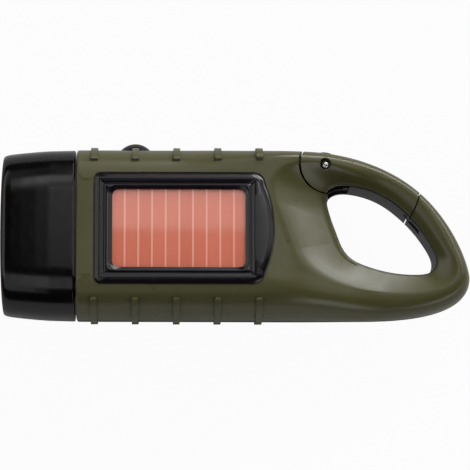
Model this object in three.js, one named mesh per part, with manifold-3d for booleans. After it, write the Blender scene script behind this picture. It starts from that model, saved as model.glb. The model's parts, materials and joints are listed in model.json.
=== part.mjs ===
// Hand crank flashlight with a solar panel on its front and a snap hook loop at its tail.
// It lies on its crank. Millimetres, +Z up, +X towards the loop, the push button on the +Y side.
// The origin is on the crank's axis, on the flat outer face of the crank's cap.

import * as THREE from "three";
import { mergeVertices } from "three/addons/utils/BufferGeometryUtils.js";
import Module from "manifold-3d";

const wasm = await Module();
wasm.setup();

// Driving sizes of the housing
const bodyHalfWidth = 23.6;
const frontDepth = 15;
const rearDepth = 14.7;
const loopFrontDepth = 7.8;
const loopRearDepth = 8;
const crankToTip = 89;
const crankToJoint = 19.8;
const headLength = 20.8;
const edgeReach = 9.5;
const wall = 1.8;

// Clearances, and the distance that every cut runs past what it cuts
const gap = 0.3;
const runningGap = 0.5;
const overrun = 1;

// Crank arm under the rear deck
const armThickness = 5.2;
const armGap = 0.6;
const floor = -(rearDepth + armGap + armThickness);

// Shape of the loop, as shares of the crank-to-tip length and of the half width
const taperStartShares = [0.18, 1];
const upperOutlineShares = [[0.501, 0.975], [0.91, 0.944], [1, -0.365], [1, -0.504]];
const lowerOutlineShares = [[0.655, -1], [0.754, -1], [1, -0.982], [1, -0.504]];
const creaseShares = [
  [0.382, 0.53], [0.41, 0.085], [0.465, -0.339], [0.545, -0.56], [0.68, -0.682],
  [0.831, -0.704], [0.933, -0.601], [0.96, -0.416], [0.931, -0.127], [0.846, 0.373],
  [0.746, 0.635], [0.637, 0.775], [0.5, 0.81], [0.413, 0.72],
];
const holeShares = [
  [0.552, 0.5], [0.583, 0.58], [0.646, 0.576], [0.725, 0.479], [0.798, 0.28], [0.861, -0.004],
  [0.899, -0.305], [0.885, -0.441], [0.811, -0.479], [0.7, -0.411], [0.618, -0.262], [0.578, 0.038],
];
const loopCentreShares = [0.713, 0.02];
const pinShares = [0.547, 0.788];
const slopeShares = [0.36, 0.775];

// Depths round the loop's hole, and the lip of the rear half that lines it
const holeEdgeDepth = 5;
const rearHoleDepth = 7.6;
const linerHeight = 4;
const linerWall = 1.4;
const linerInset = 0.3;
const holeDraft = 0.95;
const edgePower = 2.4;
const hollowPower = 1.15;
const crownPower = 2.2;
const crownAngle = THREE.MathUtils.degToRad(50);
const crownShare = 0.6;

// Snap gate of the loop
const barrelRadius = 6.9;
const gateReach = 27.25;
const gateGap = 0.35;
const gateStep = 0.85;
const barrelEase = 0.15;
const barrelEaseAngle = THREE.MathUtils.degToRad(135);
const barrelAngles = [95, 282].map(THREE.MathUtils.degToRad);
const tipAngles = [-50, 12].map(THREE.MathUtils.degToRad);
const gatePinRadius = 0.95;
const gatePinSink = 1.8;
const gatePinRecess = 1.6;
const tongueRadius = 5.2;
const tongueThickness = 3;
const tongueHalfWidth = 4;
const tongueDrop = 0.7;
const noseReach = 2;
const noseHeight = 2.6;
const noseWidth = 2.2;
const noseShare = 0.9;
const pocketReach = 4.3;
const pocketShare = 3;
const gateScrewReach = 15.6;
const gateScrewShare = 0.5;
const gateScrewRise = 4.5;
const gateScrewSink = 2.5;
const springRadius = 1.9;
const springWire = 0.5;
const springTurns = 3;
const springPitch = 1.05;

// Grip ribs on both sides
const ribCount = 5;
const ribPitch = 11.35;
const ribWidth = 1.9;
const ribHeight = 0.65;
const firstRib = -14.95;
const ribEnd = 18.8;
const ribShares = [0, 0.05, 0.2, 0.5, 1];

// Solar panel and its frame on the front face
const windowStart = -9.9;
const windowEnd = 26.6;
const windowHalfWidth = 10.8;
const windowCorner = 1.75;
const frameStart = -14.7;
const frameNose = 34.2;
const frameHalfWidth = 15.2;
const frameNoseRadius = 31.4;
const frameCorner = 3.3;
const frameCornerBack = 2.3;
const frameTailCorner = 1.7;
const frameHeight = 1;
const frameEdge = 0.25;
const frameSlope = 1.2;
const frameBevel = 1;
const frameGroove = 0.35;
const flatBand = 1.65;
const panelLap = 1.2;
const panelThickness = 1.5;
const ledge = 1.4;
const ledgeDrop = 1.2;

// Push button and its switch
const buttonPlace = -3.7;
const buttonRadius = 4.4;
const buttonProud = 2.2;
const buttonTravel = 0.9;
const buttonFlange = 1.1;
const flangeMargin = 1.2;
const stemRadius = 1.6;
const switchWidth = 6.4;
const switchDepth = 4.2;
const switchHeight = 3.7;
const plungerRadius = 1.25;
const plungerLength = 2.4;
const plungerProud = 1.2;

// Head with its lens, reflector and lamps
const jointGap = 0.4;
const spigotLength = 5.4;
const spigotWall = 1.6;
const grooveOffset = 2;
const grooveDepth = 0.8;
const gripRib = 1.4;
const gripLap = 0.4;
const lipThickness = 1.6;
const lipInset = 6.1;
const headWall = 2.4;
const lensThickness = 1.6;
const reflectorDepth = 10.3;
const cupPitchShare = 0.498;
const cupPitch = cupPitchShare * bodyHalfWidth;
const cupMouth = 7.4;
const lampRadius = 2.5;
const lampLength = 8.6;
const lampRim = 0.45;
const lampRimHeight = 1;
const boardThickness = 1.4;
const lampCount = 3;
const lampBoardInset = 5.2;
const lampScrewOffset = 3.9;
const lampScrewDepth = 4;
const headShares = [
  [0, 0.992, 0.985], [0.02, 1, 1], [0.35, 0.993, 0.992], [0.52, 0.983, 0.98], [0.72, 0.967, 0.96],
  [0.88, 0.951, 0.94], [0.945, 0.938, 0.92], [0.98, 0.92, 0.89], [1, 0.895, 0.85],
];
const frontBowRadius = 370;
const sectionShares = [0, 0.1, 0.3, 0.6, 1];
const bowlShares = [0, 0.2, 0.55, 1];
const domeShares = [0, 0.35, 0.7, 1];

// Gears: teeth, levels and centres
const toothModule = 0.7;
const pressureAngle = THREE.MathUtils.degToRad(25);
const addendum = 0.8;
const dedendum = 1.1;
const backlash = 0.1;
const crankTeeth = 48;
const idlerPinionTeeth = 12;
const idler1Teeth = 36;
const idler2Teeth = 30;
const rotorTeeth = 10;
const idler1Angle = THREE.MathUtils.degToRad(19);
const idler2Angle = THREE.MathUtils.degToRad(-100);
const rotorAngle = THREE.MathUtils.degToRad(20);
const crankGearThickness = 2.5;
const idlerGearThickness = 1.8;
const plateThickness = 1.4;
const axleRadius = 1;
const rotorShaftRadius = 0.8;
const plateMargin = 3;
const stubRadius = 2.2;
const axleBossRadius = 1.7;
const postRadius = 2.1;
const postScrewDepth = 4;
const postSpotShares = [[0.421, 0.424], [0.067, 0.826], [0.05, -0.822], [0.343, -0.805]];
const boardSpotShares = [[0.107, 0.511], [0.107, -0.46]];

// Generator
const statorRadius = 10.5;
const statorHeight = 8;
const statorWall = 0.6;
const magnetRadius = 6.3;
const coilWall = 2.6;

// Crank arm and its folding knob
const hubRadius = 9.5;
const armHalfWidth = 8;
const knobReach = 44;
const armEnd = 6;
const armTip = knobReach + armEnd;
const knobHalfWidth = 5.3;
const knobLength = 22;
const knobThickness = 4.6;
const knobPinRadius = 0.9;
const fingerGap = 4.5;
const armBossRadius = 5;
const bushingWall = 1.4;
const capRadius = 5.4;
const capThickness = 1.2;
const keyRadius = 3.2;
const keyDepth = 3.4;
const knobEndRadius = 1.2;

// Screws
const screwRadius = 1.15;
const screwHeadRadius = 2;
const screwHeadHeight = 1.5;
const screwSlot = 0.6;
const bossRadius = 3.1;
const screwRiseShare = 0.55;
const screwSink = 3;
const shellSpotShares = [
  [-0.129, 0.763], [-0.129, -0.763], [0.41, 0.784], [0.41, -0.784], [0.697, -0.771], [0.942, -0.402],
];

// Electronics and wires
const boardSideMargin = 9.3;
const boardHalfWidth = bodyHalfWidth - boardSideMargin;
const boardStart = -14.3;
const boardEnd = 18.2;
const boardRise = 0.6;
const cellHeadroom = 0.7;
const cellLength = 16.6;
const cellStart = -13.6;
const cellMargin = 1.2;
const wireRadius = 0.55;
const leadPitch = 3;
const leadRise = 3.5;
const solarLeadPlace = 17;
const cellLandingShares = [0.06, -0.388];
const solarLandingShares = [0.165, 0.127];
const lampLandingShares = [-0.13, 0.127];
const coilLandingShares = [0.18, -0.276];

// Counts of facets
const rayCount = 38;
const roundSides = 20;
const cupSides = 14;
const smallSides = 10;
const screwSides = 8;
const shankSides = 6;
const wireSides = 6;
const hexSides = 6;
const noseSteps = 2;
const pocketSteps = 4;
const cornerSteps = 3;
const domeSteps = 3;
const bowSteps = 6;
const noseArcSteps = 5;
const frameCornerSteps = 4;
const springSteps = 8;
const leadSteps = 8;
const lobeSides = 8;
const curveSamples = 240;
const halvings = 20;

// Turning and joining helpers
const alongX = new THREE.Matrix4().makeBasis(
  new THREE.Vector3(0, 1, 0),
  new THREE.Vector3(0, 0, 1),
  new THREE.Vector3(1, 0, 0),
);

// A closed geometry as a solid, with its faces turned outwards
function solidOf(geometry) {
  const bare = geometry.clone();
  bare.deleteAttribute("normal");
  bare.deleteAttribute("uv");
  const merged = mergeVertices(bare);
  const vertProperties = new Float32Array(merged.attributes.position.array);
  const triVerts = new Uint32Array(merged.index.array);
  if (signedVolume(vertProperties, triVerts) < 0) {
    triVerts.reverse();
  }
  return new wasm.Manifold(new wasm.Mesh({ numProp: 3, vertProperties, triVerts }));
}

function signedVolume(positions, corners) {
  const [a, b, c] = [new THREE.Vector3(), new THREE.Vector3(), new THREE.Vector3()];
  let volume = 0;
  for (let i = 0; i < corners.length; i += 3) {
    a.fromArray(positions, 3 * corners[i]);
    b.fromArray(positions, 3 * corners[i + 1]);
    c.fromArray(positions, 3 * corners[i + 2]);
    volume += a.dot(b.cross(c));
  }
  return volume;
}

function geometryOf(solid) {
  const mesh = solid.getMesh();
  const geometry = new THREE.BufferGeometry();
  const positions = new Float32Array(mesh.vertProperties);
  geometry.setAttribute("position", new THREE.BufferAttribute(positions, 3));
  geometry.setIndex(new THREE.BufferAttribute(new Uint32Array(mesh.triVerts), 1));
  return geometry;
}

function joined(solids) {
  return solids.reduce((whole, solid) => whole.add(solid));
}

function cut(solid, cutters) {
  return cutters.reduce((rest, cutter) => rest.subtract(cutter), solid);
}

function block(x0, x1, y0, y1, z0, z1) {
  const geometry = new THREE.BoxGeometry(x1 - x0, y1 - y0, z1 - z0);
  geometry.translate((x0 + x1) / 2, (y0 + y1) / 2, (z0 + z1) / 2);
  return solidOf(geometry);
}

function rod(radius, z0, z1, centre = new THREE.Vector2(), sides = smallSides) {
  const geometry = new THREE.CylinderGeometry(radius, radius, z1 - z0, sides);
  geometry.rotateX(Math.PI / 2);
  geometry.translate(centre.x, centre.y, (z0 + z1) / 2);
  return solidOf(geometry);
}

function rodAlongX(radius, x0, x1, y, z, sides = smallSides) {
  const geometry = new THREE.CylinderGeometry(radius, radius, x1 - x0, sides);
  geometry.rotateZ(Math.PI / 2);
  geometry.translate((x0 + x1) / 2, y, z);
  return solidOf(geometry);
}

function rodAlongY(radius, y0, y1, x, z, sides = smallSides) {
  const geometry = new THREE.CylinderGeometry(radius, radius, y1 - y0, sides);
  geometry.translate(x, (y0 + y1) / 2, z);
  return solidOf(geometry);
}

function prism(points, z0, z1, holes = []) {
  const shape = new THREE.Shape(points);
  shape.holes = holes.map((hole) => new THREE.Path(hole));
  const geometry = new THREE.ExtrudeGeometry(shape, { depth: z1 - z0, bevelEnabled: false });
  geometry.translate(0, 0, z0);
  return solidOf(geometry);
}

function prismAlongX(points, x0, x1) {
  const shape = new THREE.Shape(points);
  const geometry = new THREE.ExtrudeGeometry(shape, { depth: x1 - x0, bevelEnabled: false });
  geometry.applyMatrix4(alongX);
  geometry.translate(x0, 0, 0);
  return solidOf(geometry);
}

function prismAlongY(points, y0, y1) {
  const shape = new THREE.Shape(points);
  const geometry = new THREE.ExtrudeGeometry(shape, { depth: y1 - y0, bevelEnabled: false });
  geometry.rotateX(Math.PI / 2);
  geometry.translate(0, y1, 0);
  return solidOf(geometry);
}

// A profile of radius and height pairs, turned about the upright axis
function turned(profile, centre = new THREE.Vector2(), sides = roundSides) {
  const points = profile.map(([radius, height]) => new THREE.Vector2(radius, height));
  const geometry = new THREE.LatheGeometry(points, sides);
  geometry.rotateX(Math.PI / 2);
  geometry.translate(centre.x, centre.y, 0);
  return solidOf(geometry);
}

// The same profile, turned about an axis that runs along X
function turnedAlongX(profile, y, z, sides = roundSides) {
  const points = profile.map(([radius, place]) => new THREE.Vector2(radius, place));
  const geometry = new THREE.LatheGeometry(points, sides);
  geometry.rotateZ(-Math.PI / 2);
  geometry.translate(0, y, z);
  return solidOf(geometry);
}

function closedBody(points, triangles) {
  const geometry = new THREE.BufferGeometry();
  const positions = points.flatMap((p) => p.toArray());
  geometry.setAttribute("position", new THREE.Float32BufferAttribute(positions, 3));
  geometry.setIndex(triangles.flat());
  return solidOf(geometry);
}

// Rings of equal length joined in a row, with a flat cap at each end
function loft(rings) {
  const count = rings[0].length;
  const points = rings.flat();
  const triangles = [];
  for (let row = 0; row + 1 < rings.length; row += 1) {
    for (let i = 0; i < count; i += 1) {
      const a = row * count + i;
      const b = row * count + ((i + 1) % count);
      triangles.push([a, b, b + count], [a, b + count, a + count]);
    }
  }
  for (const row of [0, rings.length - 1]) {
    const middle = points.length;
    points.push(rings[row].reduce((sum, p) => sum.add(p), new THREE.Vector3()).divideScalar(count));
    for (let i = 0; i < count; i += 1) {
      const a = row * count + i;
      const b = row * count + ((i + 1) % count);
      triangles.push(row === 0 ? [b, a, middle] : [a, b, middle]);
    }
  }
  return closedBody(points, triangles);
}

// Columns of points that close on themselves both ways, as a body with one hole through it
function ringBody(columns) {
  const across = columns[0].length;
  const triangles = [];
  columns.forEach((column, i) => {
    const next = ((i + 1) % columns.length) * across;
    column.forEach((point, k) => {
      const a = i * across + k;
      const b = i * across + ((k + 1) % across);
      const c = next + ((k + 1) % across);
      const d = next + k;
      triangles.push([a, b, c], [a, c, d]);
    });
  });
  return closedBody(columns.flat(), triangles);
}

function arc(centre, radius, from, to, steps) {
  const points = [];
  for (let i = 0; i <= steps; i += 1) {
    const angle = from + ((to - from) * i) / steps;
    points.push(around(centre, radius, angle));
  }
  return points;
}

function roundPlan(centre, radius, sides) {
  return arc(centre, radius, 0, 2 * Math.PI, sides).slice(1);
}

function around(centre, distance, angle) {
  return new THREE.Vector2(centre.x + distance * Math.cos(angle), centre.y + distance * Math.sin(angle));
}

function roundedRectangle(x0, x1, y0, y1, radius) {
  const quarter = Math.PI / 2;
  const corners = [[x1 - radius, y1 - radius], [x0 + radius, y1 - radius]];
  corners.push([x0 + radius, y0 + radius], [x1 - radius, y0 + radius]);
  return corners.flatMap(([x, y], i) => {
    return arc(new THREE.Vector2(x, y), radius, quarter * i, quarter * (i + 1), cornerSteps);
  });
}

// Plan of the housing: outline, crease round the dish and hole, met by rays from the hole's middle
function place([alongShare, acrossShare]) {
  return new THREE.Vector2(alongShare * crankToTip, acrossShare * bodyHalfWidth);
}

function bezier(shares) {
  return new THREE.CubicBezierCurve(...shares.map(place)).getPoints(curveSamples);
}

function closedCurve(shares) {
  const knots = shares.map(place).map((p) => new THREE.Vector3(p.x, p.y, 0));
  const curve = new THREE.CatmullRomCurve3(knots, true, "centripetal");
  return curve.getPoints(curveSamples).map((p) => new THREE.Vector2(p.x, p.y));
}

const tailEnd = -(crankToJoint + edgeReach + headLength);
const outline = [
  new THREE.Vector2(tailEnd, -bodyHalfWidth),
  ...bezier(lowerOutlineShares),
  ...bezier(upperOutlineShares).reverse(),
  place(taperStartShares),
  new THREE.Vector2(tailEnd, bodyHalfWidth),
];
const creaseCurve = closedCurve(creaseShares);
const holeCurve = closedCurve(holeShares);
const loopCentre = place(loopCentreShares);
const pin = place(pinShares);

function meet(curve, direction) {
  for (let i = 0; i < curve.length; i += 1) {
    const start = curve[i];
    const step = curve[(i + 1) % curve.length].clone().sub(start);
    const offset = start.clone().sub(loopCentre);
    const slant = direction.cross(step);
    const along = offset.cross(step) / slant;
    const share = offset.cross(direction) / slant;
    if (along > 0 && share >= 0 && share < 1) {
      return { point: start.clone().addScaledVector(step, share), step: step.normalize() };
    }
  }
  throw new Error("the loop's centre lies outside one of its curves");
}

function rayAt(angle) {
  const out = new THREE.Vector2(Math.cos(angle), Math.sin(angle));
  const edge = meet(outline, out);
  let inward = new THREE.Vector2(-edge.step.y, edge.step.x);
  if (inward.dot(out) > 0) {
    inward = inward.negate();
  }
  const crease = meet(creaseCurve, out).point;
  const hole = meet(holeCurve, out).point;
  const band = edge.point.distanceTo(crease) * -inward.dot(out);
  const crown = THREE.MathUtils.smoothstep(Math.cos(angle - crownAngle), 0, crownShare);
  return { out, inward, edge: edge.point, crease, hole, band, crown };
}

// Evenly spread rays, with one more at each side that meets the outline just behind the head's joint
const jointSpots = [-1, 1].map((side) => new THREE.Vector2(-crankToJoint - edgeReach, side * bodyHalfWidth));
const jointAngles = jointSpots.map((spot) => spot.sub(loopCentre).angle());
const evenAngles = Array.from({ length: rayCount }, (_, i) => (2 * Math.PI * (i + 0.5)) / rayCount);
const rays = [...evenAngles, ...jointAngles].sort((one, other) => one - other).map(rayAt);

function depthAt(x, bodyDepth, loopDepth) {
  const [start, end] = slopeShares.map((share) => share * crankToTip);
  return THREE.MathUtils.lerp(bodyDepth, loopDepth, THREE.MathUtils.smootherstep(x, start, end));
}

function roundOff(share) {
  return (1 - (1 - share) ** edgePower) ** (1 / edgePower);
}

function dishDepth(ray, share, edgeDepth, creaseDepth) {
  const power = THREE.MathUtils.lerp(hollowPower, crownPower, ray.crown);
  return edgeDepth + (creaseDepth - edgeDepth) * (1 - share ** power);
}

// One half of the housing's outer form, with side 1 for the front half and -1 for the rear half
const roundShares = [0, 0.04, 0.18, 0.5, 1];
const dishShares = [0.5, 1];
const bandShare = 0.9;

function halfColumn(ray, side, bodyDepth, loopDepth, edgeDepth) {
  const reach = Math.min(edgeReach, bandShare * ray.band);
  const column = roundShares.map((share) => {
    const spot = ray.edge.clone().addScaledVector(ray.inward, share * reach);
    const depth = roundOff(share) * depthAt(spot.x, bodyDepth, loopDepth);
    return new THREE.Vector3(spot.x, spot.y, side * depth);
  });
  const creaseDepth = depthAt(ray.crease.x, bodyDepth, loopDepth);
  column.push(new THREE.Vector3(ray.crease.x, ray.crease.y, side * creaseDepth));
  for (const share of dishShares) {
    const spot = ray.crease.clone().lerp(ray.hole, share);
    column.push(new THREE.Vector3(spot.x, spot.y, side * dishDepth(ray, share, edgeDepth, creaseDepth)));
  }
  column.push(new THREE.Vector3(ray.hole.x, ray.hole.y, 0));
  return column;
}

function depthsOf(side) {
  return side > 0 ? [frontDepth, loopFrontDepth, holeEdgeDepth] : [rearDepth, loopRearDepth, rearHoleDepth];
}

function outerHalf(side) {
  const form = ringBody(rays.map((ray) => halfColumn(ray, side, ...depthsOf(side))));
  return form.intersect(wholeSpace(-crankToJoint, crankToTip));
}

function wholeSpace(x0, x1) {
  const half = bodyHalfWidth + ribHeight + overrun;
  const deep = frontDepth + rearDepth;
  return block(x0, x1 + overrun, -half, half, -deep, deep);
}

// The hollow inside that half, which keeps the wall's thickness from the outer form
const hollowShares = [0, 0.05, 0.22, 0.55, 1];

function hollowColumn(ray, side, bodyDepth, loopDepth, edgeDepth) {
  const edge = ray.edge.clone().addScaledVector(ray.inward, wall);
  const hole = ray.hole.clone().addScaledVector(ray.out, linerWall + gap + wall);
  const share = ray.crease.distanceTo(ray.hole) / ray.edge.distanceTo(ray.hole);
  const crease = hole.clone().lerp(edge, share);
  const reach = Math.min(edgeReach - wall, bandShare * crease.distanceTo(edge) * -ray.inward.dot(ray.out));
  const column = [new THREE.Vector3(edge.x, edge.y, -side * overrun)];
  for (const part of hollowShares) {
    const spot = edge.clone().addScaledVector(ray.inward, part * reach);
    const depth = depthAt(spot.x, bodyDepth, loopDepth) - wall;
    column.push(new THREE.Vector3(spot.x, spot.y, side * roundOff(part) * depth));
  }
  const creaseDepth = depthAt(ray.crease.x, bodyDepth, loopDepth);
  column.push(new THREE.Vector3(crease.x, crease.y, side * (creaseDepth - wall)));
  const back = Math.min(1, ray.hole.distanceTo(hole) / ray.hole.distanceTo(ray.crease));
  const holeDepth = dishDepth(ray, 1 - back, edgeDepth, creaseDepth) - wall;
  column.push(new THREE.Vector3(hole.x, hole.y, side * holeDepth));
  column.push(new THREE.Vector3(hole.x, hole.y, -side * overrun));
  return column;
}

function hollow(side) {
  return ringBody(rays.map((ray) => hollowColumn(ray, side, ...depthsOf(side))));
}

const frontForm = outerHalf(1);
const rearForm = outerHalf(-1);
const frontHollow = hollow(1);
const rearHollow = hollow(-1);

// The lip of the rear half that lines the hole: its wall leans inwards towards the rear
function holeRing(offset) {
  return rays.map((ray) => ray.hole.clone().addScaledVector(ray.out, offset));
}

function linerColumn(ray) {
  const at = (offset, z) => {
    const spot = ray.hole.clone().addScaledVector(ray.out, offset);
    return new THREE.Vector3(spot.x, spot.y, z);
  };
  return [
    at(linerWall, linerHeight),
    at(-linerInset, linerHeight),
    at(-holeDraft, -rearHoleDepth + overrun),
    at(-holeDraft + gap, -rearHoleDepth),
    at(linerWall, -rearHoleDepth),
  ];
}

const liner = ringBody(rays.map(linerColumn));
const linerSeat = prism(holeRing(linerWall + gap), -overrun, linerHeight);

// Gate: a prism between its round barrel, which turns on the pin, and the arc at its tip
function gatePrism(barrel, reach, barrelCentre = pin, bottom = -frontDepth - overrun) {
  const barrelArc = arc(barrelCentre, barrel, ...barrelAngles, roundSides);
  const tipArc = arc(pin, reach, ...tipAngles, smallSides);
  return prism([...barrelArc, ...tipArc], bottom, frontDepth + overrun);
}

// Below the parting plane the tip ends a step earlier, which hides what is behind the gap
const rearReach = gateReach - gateStep;

function gateZone() {
  return gatePrism(barrelRadius, rearReach).add(gatePrism(barrelRadius, gateReach, pin, gap / 2));
}

function gateRoom() {
  const centre = around(pin, barrelEase, barrelEaseAngle);
  const radius = barrelRadius + gateGap + barrelEase;
  const rear = gatePrism(radius, rearReach + gateGap, centre);
  return rear.add(gatePrism(radius, gateReach + gateGap, centre, -gap / 2));
}

// Body side of the gate's hinge: a tongue that the two halves of the gate's barrel straddle
const tongueTop = tongueThickness / 2 - tongueDrop;
const tongueBottom = tongueTop - tongueThickness;
const forkTop = tongueTop + gap;
const forkBottom = tongueBottom - gap;
const barrelSlot = rod(barrelRadius + gateGap, forkBottom, forkTop, pin, roundSides);

function tongue() {
  const root = barrelRadius + gateGap + wall + gap;
  const disc = rod(tongueRadius, tongueBottom, tongueTop, pin, roundSides);
  const [low, high] = [pin.y - tongueHalfWidth, pin.y + tongueHalfWidth];
  const arm = block(pin.x - root, pin.x, low, high, tongueBottom, tongueTop);
  return disc.add(arm).subtract(rod(gatePinRadius + gap, tongueBottom - overrun, tongueTop + overrun, pin));
}

// A spot in the ring of the loop, at a distance from the pin and a share of the way from the rim to the hole
function ringSpot(reach, share) {
  let [near, far] = [Math.PI / 2, 0];
  let spot = pin;
  for (let i = 0; i < halvings; i += 1) {
    const angle = (near + far) / 2;
    const ray = rayAt(angle);
    spot = ray.edge.clone().lerp(ray.hole, share);
    [near, far] = spot.distanceTo(pin) < reach ? [angle, far] : [near, angle];
  }
  return spot;
}

const noseAngle = ringSpot(gateReach, noseShare).sub(pin).angle();
const gateMiddle = ringSpot(gateScrewReach, gateScrewShare);

// Nose of the gate, which the hook's pocket stops from swinging outwards
function nosePlan(margin, reach) {
  const angle = noseAngle;
  const half = (noseWidth / 2 + margin) / gateReach;
  const outer = arc(pin, gateReach + reach + margin, angle - half, angle + half, noseSteps);
  return [...outer, ...arc(pin, gateReach - wall, angle + half, angle - half, noseSteps)];
}

function nosePocketPlan() {
  const angle = noseAngle;
  const half = (noseWidth / 2 + gap) / gateReach;
  const start = angle - pocketShare * half;
  const outer = arc(pin, gateReach + pocketReach, start, angle + half, pocketSteps);
  return [...outer, ...arc(pin, gateReach - wall, angle + half, start, pocketSteps)];
}

function gatePocket(side) {
  const barrelWall = rod(barrelRadius + wall, -frontDepth, frontDepth, pin);
  const reach = side > 0 ? gateReach : rearReach;
  const zone = gatePrism(barrelRadius + wall, reach - wall).subtract(barrelWall);
  const half = side > 0 ? frontHollow : rearHollow;
  return half.intersect(zone).subtract(rod(bossRadius, -frontDepth, frontDepth, gateMiddle));
}

const gateScrewHead = gateScrewSink - depthAt(gateMiddle.x, rearDepth, loopRearDepth);
const pinTop = depthAt(pin.x, frontDepth, loopFrontDepth);
const pinBottom = wall - depthAt(pin.x, rearDepth, loopRearDepth);
const springBottom = forkBottom - springTurns * springPitch - 2 * springWire;

function gatePin() {
  return rod(gatePinRadius, pinBottom, pinTop - gatePinSink / 2, pin);
}

function gateFront() {
  const body = frontForm.intersect(gateZone());
  const pinHole = rod(gatePinRadius + gap, -overrun, frontDepth + overrun, pin);
  const recess = rod(gatePinRecess, pinTop - gatePinSink, frontDepth + overrun, pin, roundSides);
  const pilot = rod(screwRadius + gap, -overrun, gateScrewRise + gap, gateMiddle);
  const noseRoom = prism(nosePlan(gap, noseReach), -overrun, noseHeight / 2 + gap);
  return cut(body, [linerSeat, barrelSlot, pinHole, recess, gatePocket(1), pilot, noseRoom]);
}

function gateRear() {
  const nose = prism(nosePlan(0, noseReach), -noseHeight / 2, noseHeight / 2);
  const lining = liner.subtract(rod(barrelRadius + wall, -frontDepth, frontDepth, pin, roundSides));
  const body = rearForm.add(lining).intersect(gateZone()).add(nose);
  const pinHole = rod(gatePinRadius + gap, pinBottom - gap, overrun, pin);
  const springRoom = rod(springRadius + springWire + gap, springBottom - gap, overrun, pin);
  const screwWay = screwHole(gateMiddle, gateScrewHead, overrun);
  return cut(body, [barrelSlot, pinHole, springRoom, gatePocket(-1), screwWay]);
}

// Torsion spring as one unbroken coil round the pin
function gateSpring() {
  const steps = springTurns * springSteps;
  const points = Array.from({ length: steps + 1 }, (_, i) => {
    const angle = (2 * Math.PI * i) / springSteps;
    const height = springBottom + springWire + (springPitch * i) / springSteps;
    return new THREE.Vector3(springRadius * Math.cos(angle), springRadius * Math.sin(angle), height);
  });
  return tube(points, springWire / 2, steps).translate([pin.x, pin.y, 0]);
}

function tube(points, radius, steps) {
  const extrudePath = new THREE.CatmullRomCurve3(points);
  const circle = new THREE.Shape(roundPlan(new THREE.Vector2(), radius, wireSides));
  return solidOf(new THREE.ExtrudeGeometry(circle, { steps, extrudePath }));
}

// Screws: a head with a slot, and a hole with room for the head
function screw(spot, headBottom, tip) {
  const head = rod(screwHeadRadius, headBottom, headBottom + screwHeadHeight, spot, screwSides);
  const shank = rod(screwRadius, headBottom + screwHeadHeight - overrun, tip, spot, shankSides);
  const slot = block(
    spot.x - screwHeadRadius - overrun,
    spot.x + screwHeadRadius + overrun,
    spot.y - screwSlot / 2,
    spot.y + screwSlot / 2,
    headBottom - overrun,
    headBottom + screwSlot,
  );
  return head.add(shank).subtract(slot);
}

function screwHole(spot, headBottom, tip) {
  const headRoom = rod(screwHeadRadius + gap, -rearDepth - overrun, headBottom + screwHeadHeight, spot);
  return headRoom.add(rod(screwRadius + gap, -rearDepth, tip, spot));
}

function screwTop(spot, seat, tip) {
  const head = rod(screwHeadRadius, seat, seat + screwHeadHeight, spot, screwSides);
  const slot = block(
    spot.x - screwHeadRadius - overrun,
    spot.x + screwHeadRadius + overrun,
    spot.y - screwSlot / 2,
    spot.y + screwSlot / 2,
    seat + screwHeadHeight - screwSlot,
    seat + screwHeadHeight + overrun,
  );
  return head.add(rod(screwRadius, tip, seat + overrun, spot, shankSides)).subtract(slot);
}

// Centres of the gears
const crankAxis = new THREE.Vector2();
const idler1Axis = around(crankAxis, (toothModule * (crankTeeth + idlerPinionTeeth)) / 2, idler1Angle);
const idler2Axis = around(idler1Axis, (toothModule * (idler1Teeth + idlerPinionTeeth)) / 2, idler2Angle);
const rotorAxis = around(idler2Axis, (toothModule * (idler2Teeth + rotorTeeth)) / 2, rotorAngle);

// Levels of the gears above the rear deck
const deckInside = -(rearDepth - wall);
const crankGearBottom = deckInside + runningGap;
const crankGearTop = crankGearBottom + crankGearThickness;
const idler1GearBottom = crankGearTop + runningGap;
const idler1GearTop = idler1GearBottom + idlerGearThickness;
const idler2PinionBottom = crankGearTop + gap;
const idler2GearBottom = idler1GearTop + runningGap;
const idler2GearTop = idler2GearBottom + idlerGearThickness;
const rotorPinionBottom = idler2GearBottom;
const rotorPinionTop = idler2GearTop + gap;
const plateBottom = rotorPinionTop + runningGap;
const plateTop = plateBottom + plateThickness;
const axleBottom = deckInside - wall / 2;
const axleTop = plateTop - gap;

// Gears whose tooth flanks run straight between two points of the involute
function involute(angle) {
  return Math.tan(angle) - angle;
}

function toothHalfAngle(radius, teeth) {
  const pitchRadius = (toothModule * teeth) / 2;
  const baseRadius = pitchRadius * Math.cos(pressureAngle);
  const flank = Math.acos(baseRadius / Math.max(radius, baseRadius));
  const thickness = Math.PI / (2 * teeth) - backlash / (2 * pitchRadius);
  return thickness + involute(pressureAngle) - involute(flank);
}

function gear(teeth, z0, z1, centre, phase) {
  const pitchRadius = (toothModule * teeth) / 2;
  const radii = [pitchRadius - dedendum * toothModule, pitchRadius + addendum * toothModule];
  const points = [];
  for (let tooth = 0; tooth < teeth; tooth += 1) {
    const middle = phase + (2 * Math.PI * tooth) / teeth;
    const rising = radii.map((radius) => around(centre, radius, middle - toothHalfAngle(radius, teeth)));
    const falling = radii.map((radius) => around(centre, radius, middle + toothHalfAngle(radius, teeth)));
    points.push(...rising, ...falling.reverse());
  }
  return prism(points, z0, z1);
}

// The turn that puts a gear's gap on the tooth of the gear that drives it
function meshPhase(driverPhase, driverTeeth, teeth, angle) {
  return angle + Math.PI - ((driverPhase - angle) * driverTeeth) / teeth - Math.PI / teeth;
}

const idler1Phase = meshPhase(0, crankTeeth, idlerPinionTeeth, idler1Angle);
const idler2Phase = meshPhase(idler1Phase, idler1Teeth, idlerPinionTeeth, idler2Angle);
const rotorPhase = meshPhase(idler2Phase, idler2Teeth, rotorTeeth, rotorAngle);

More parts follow.
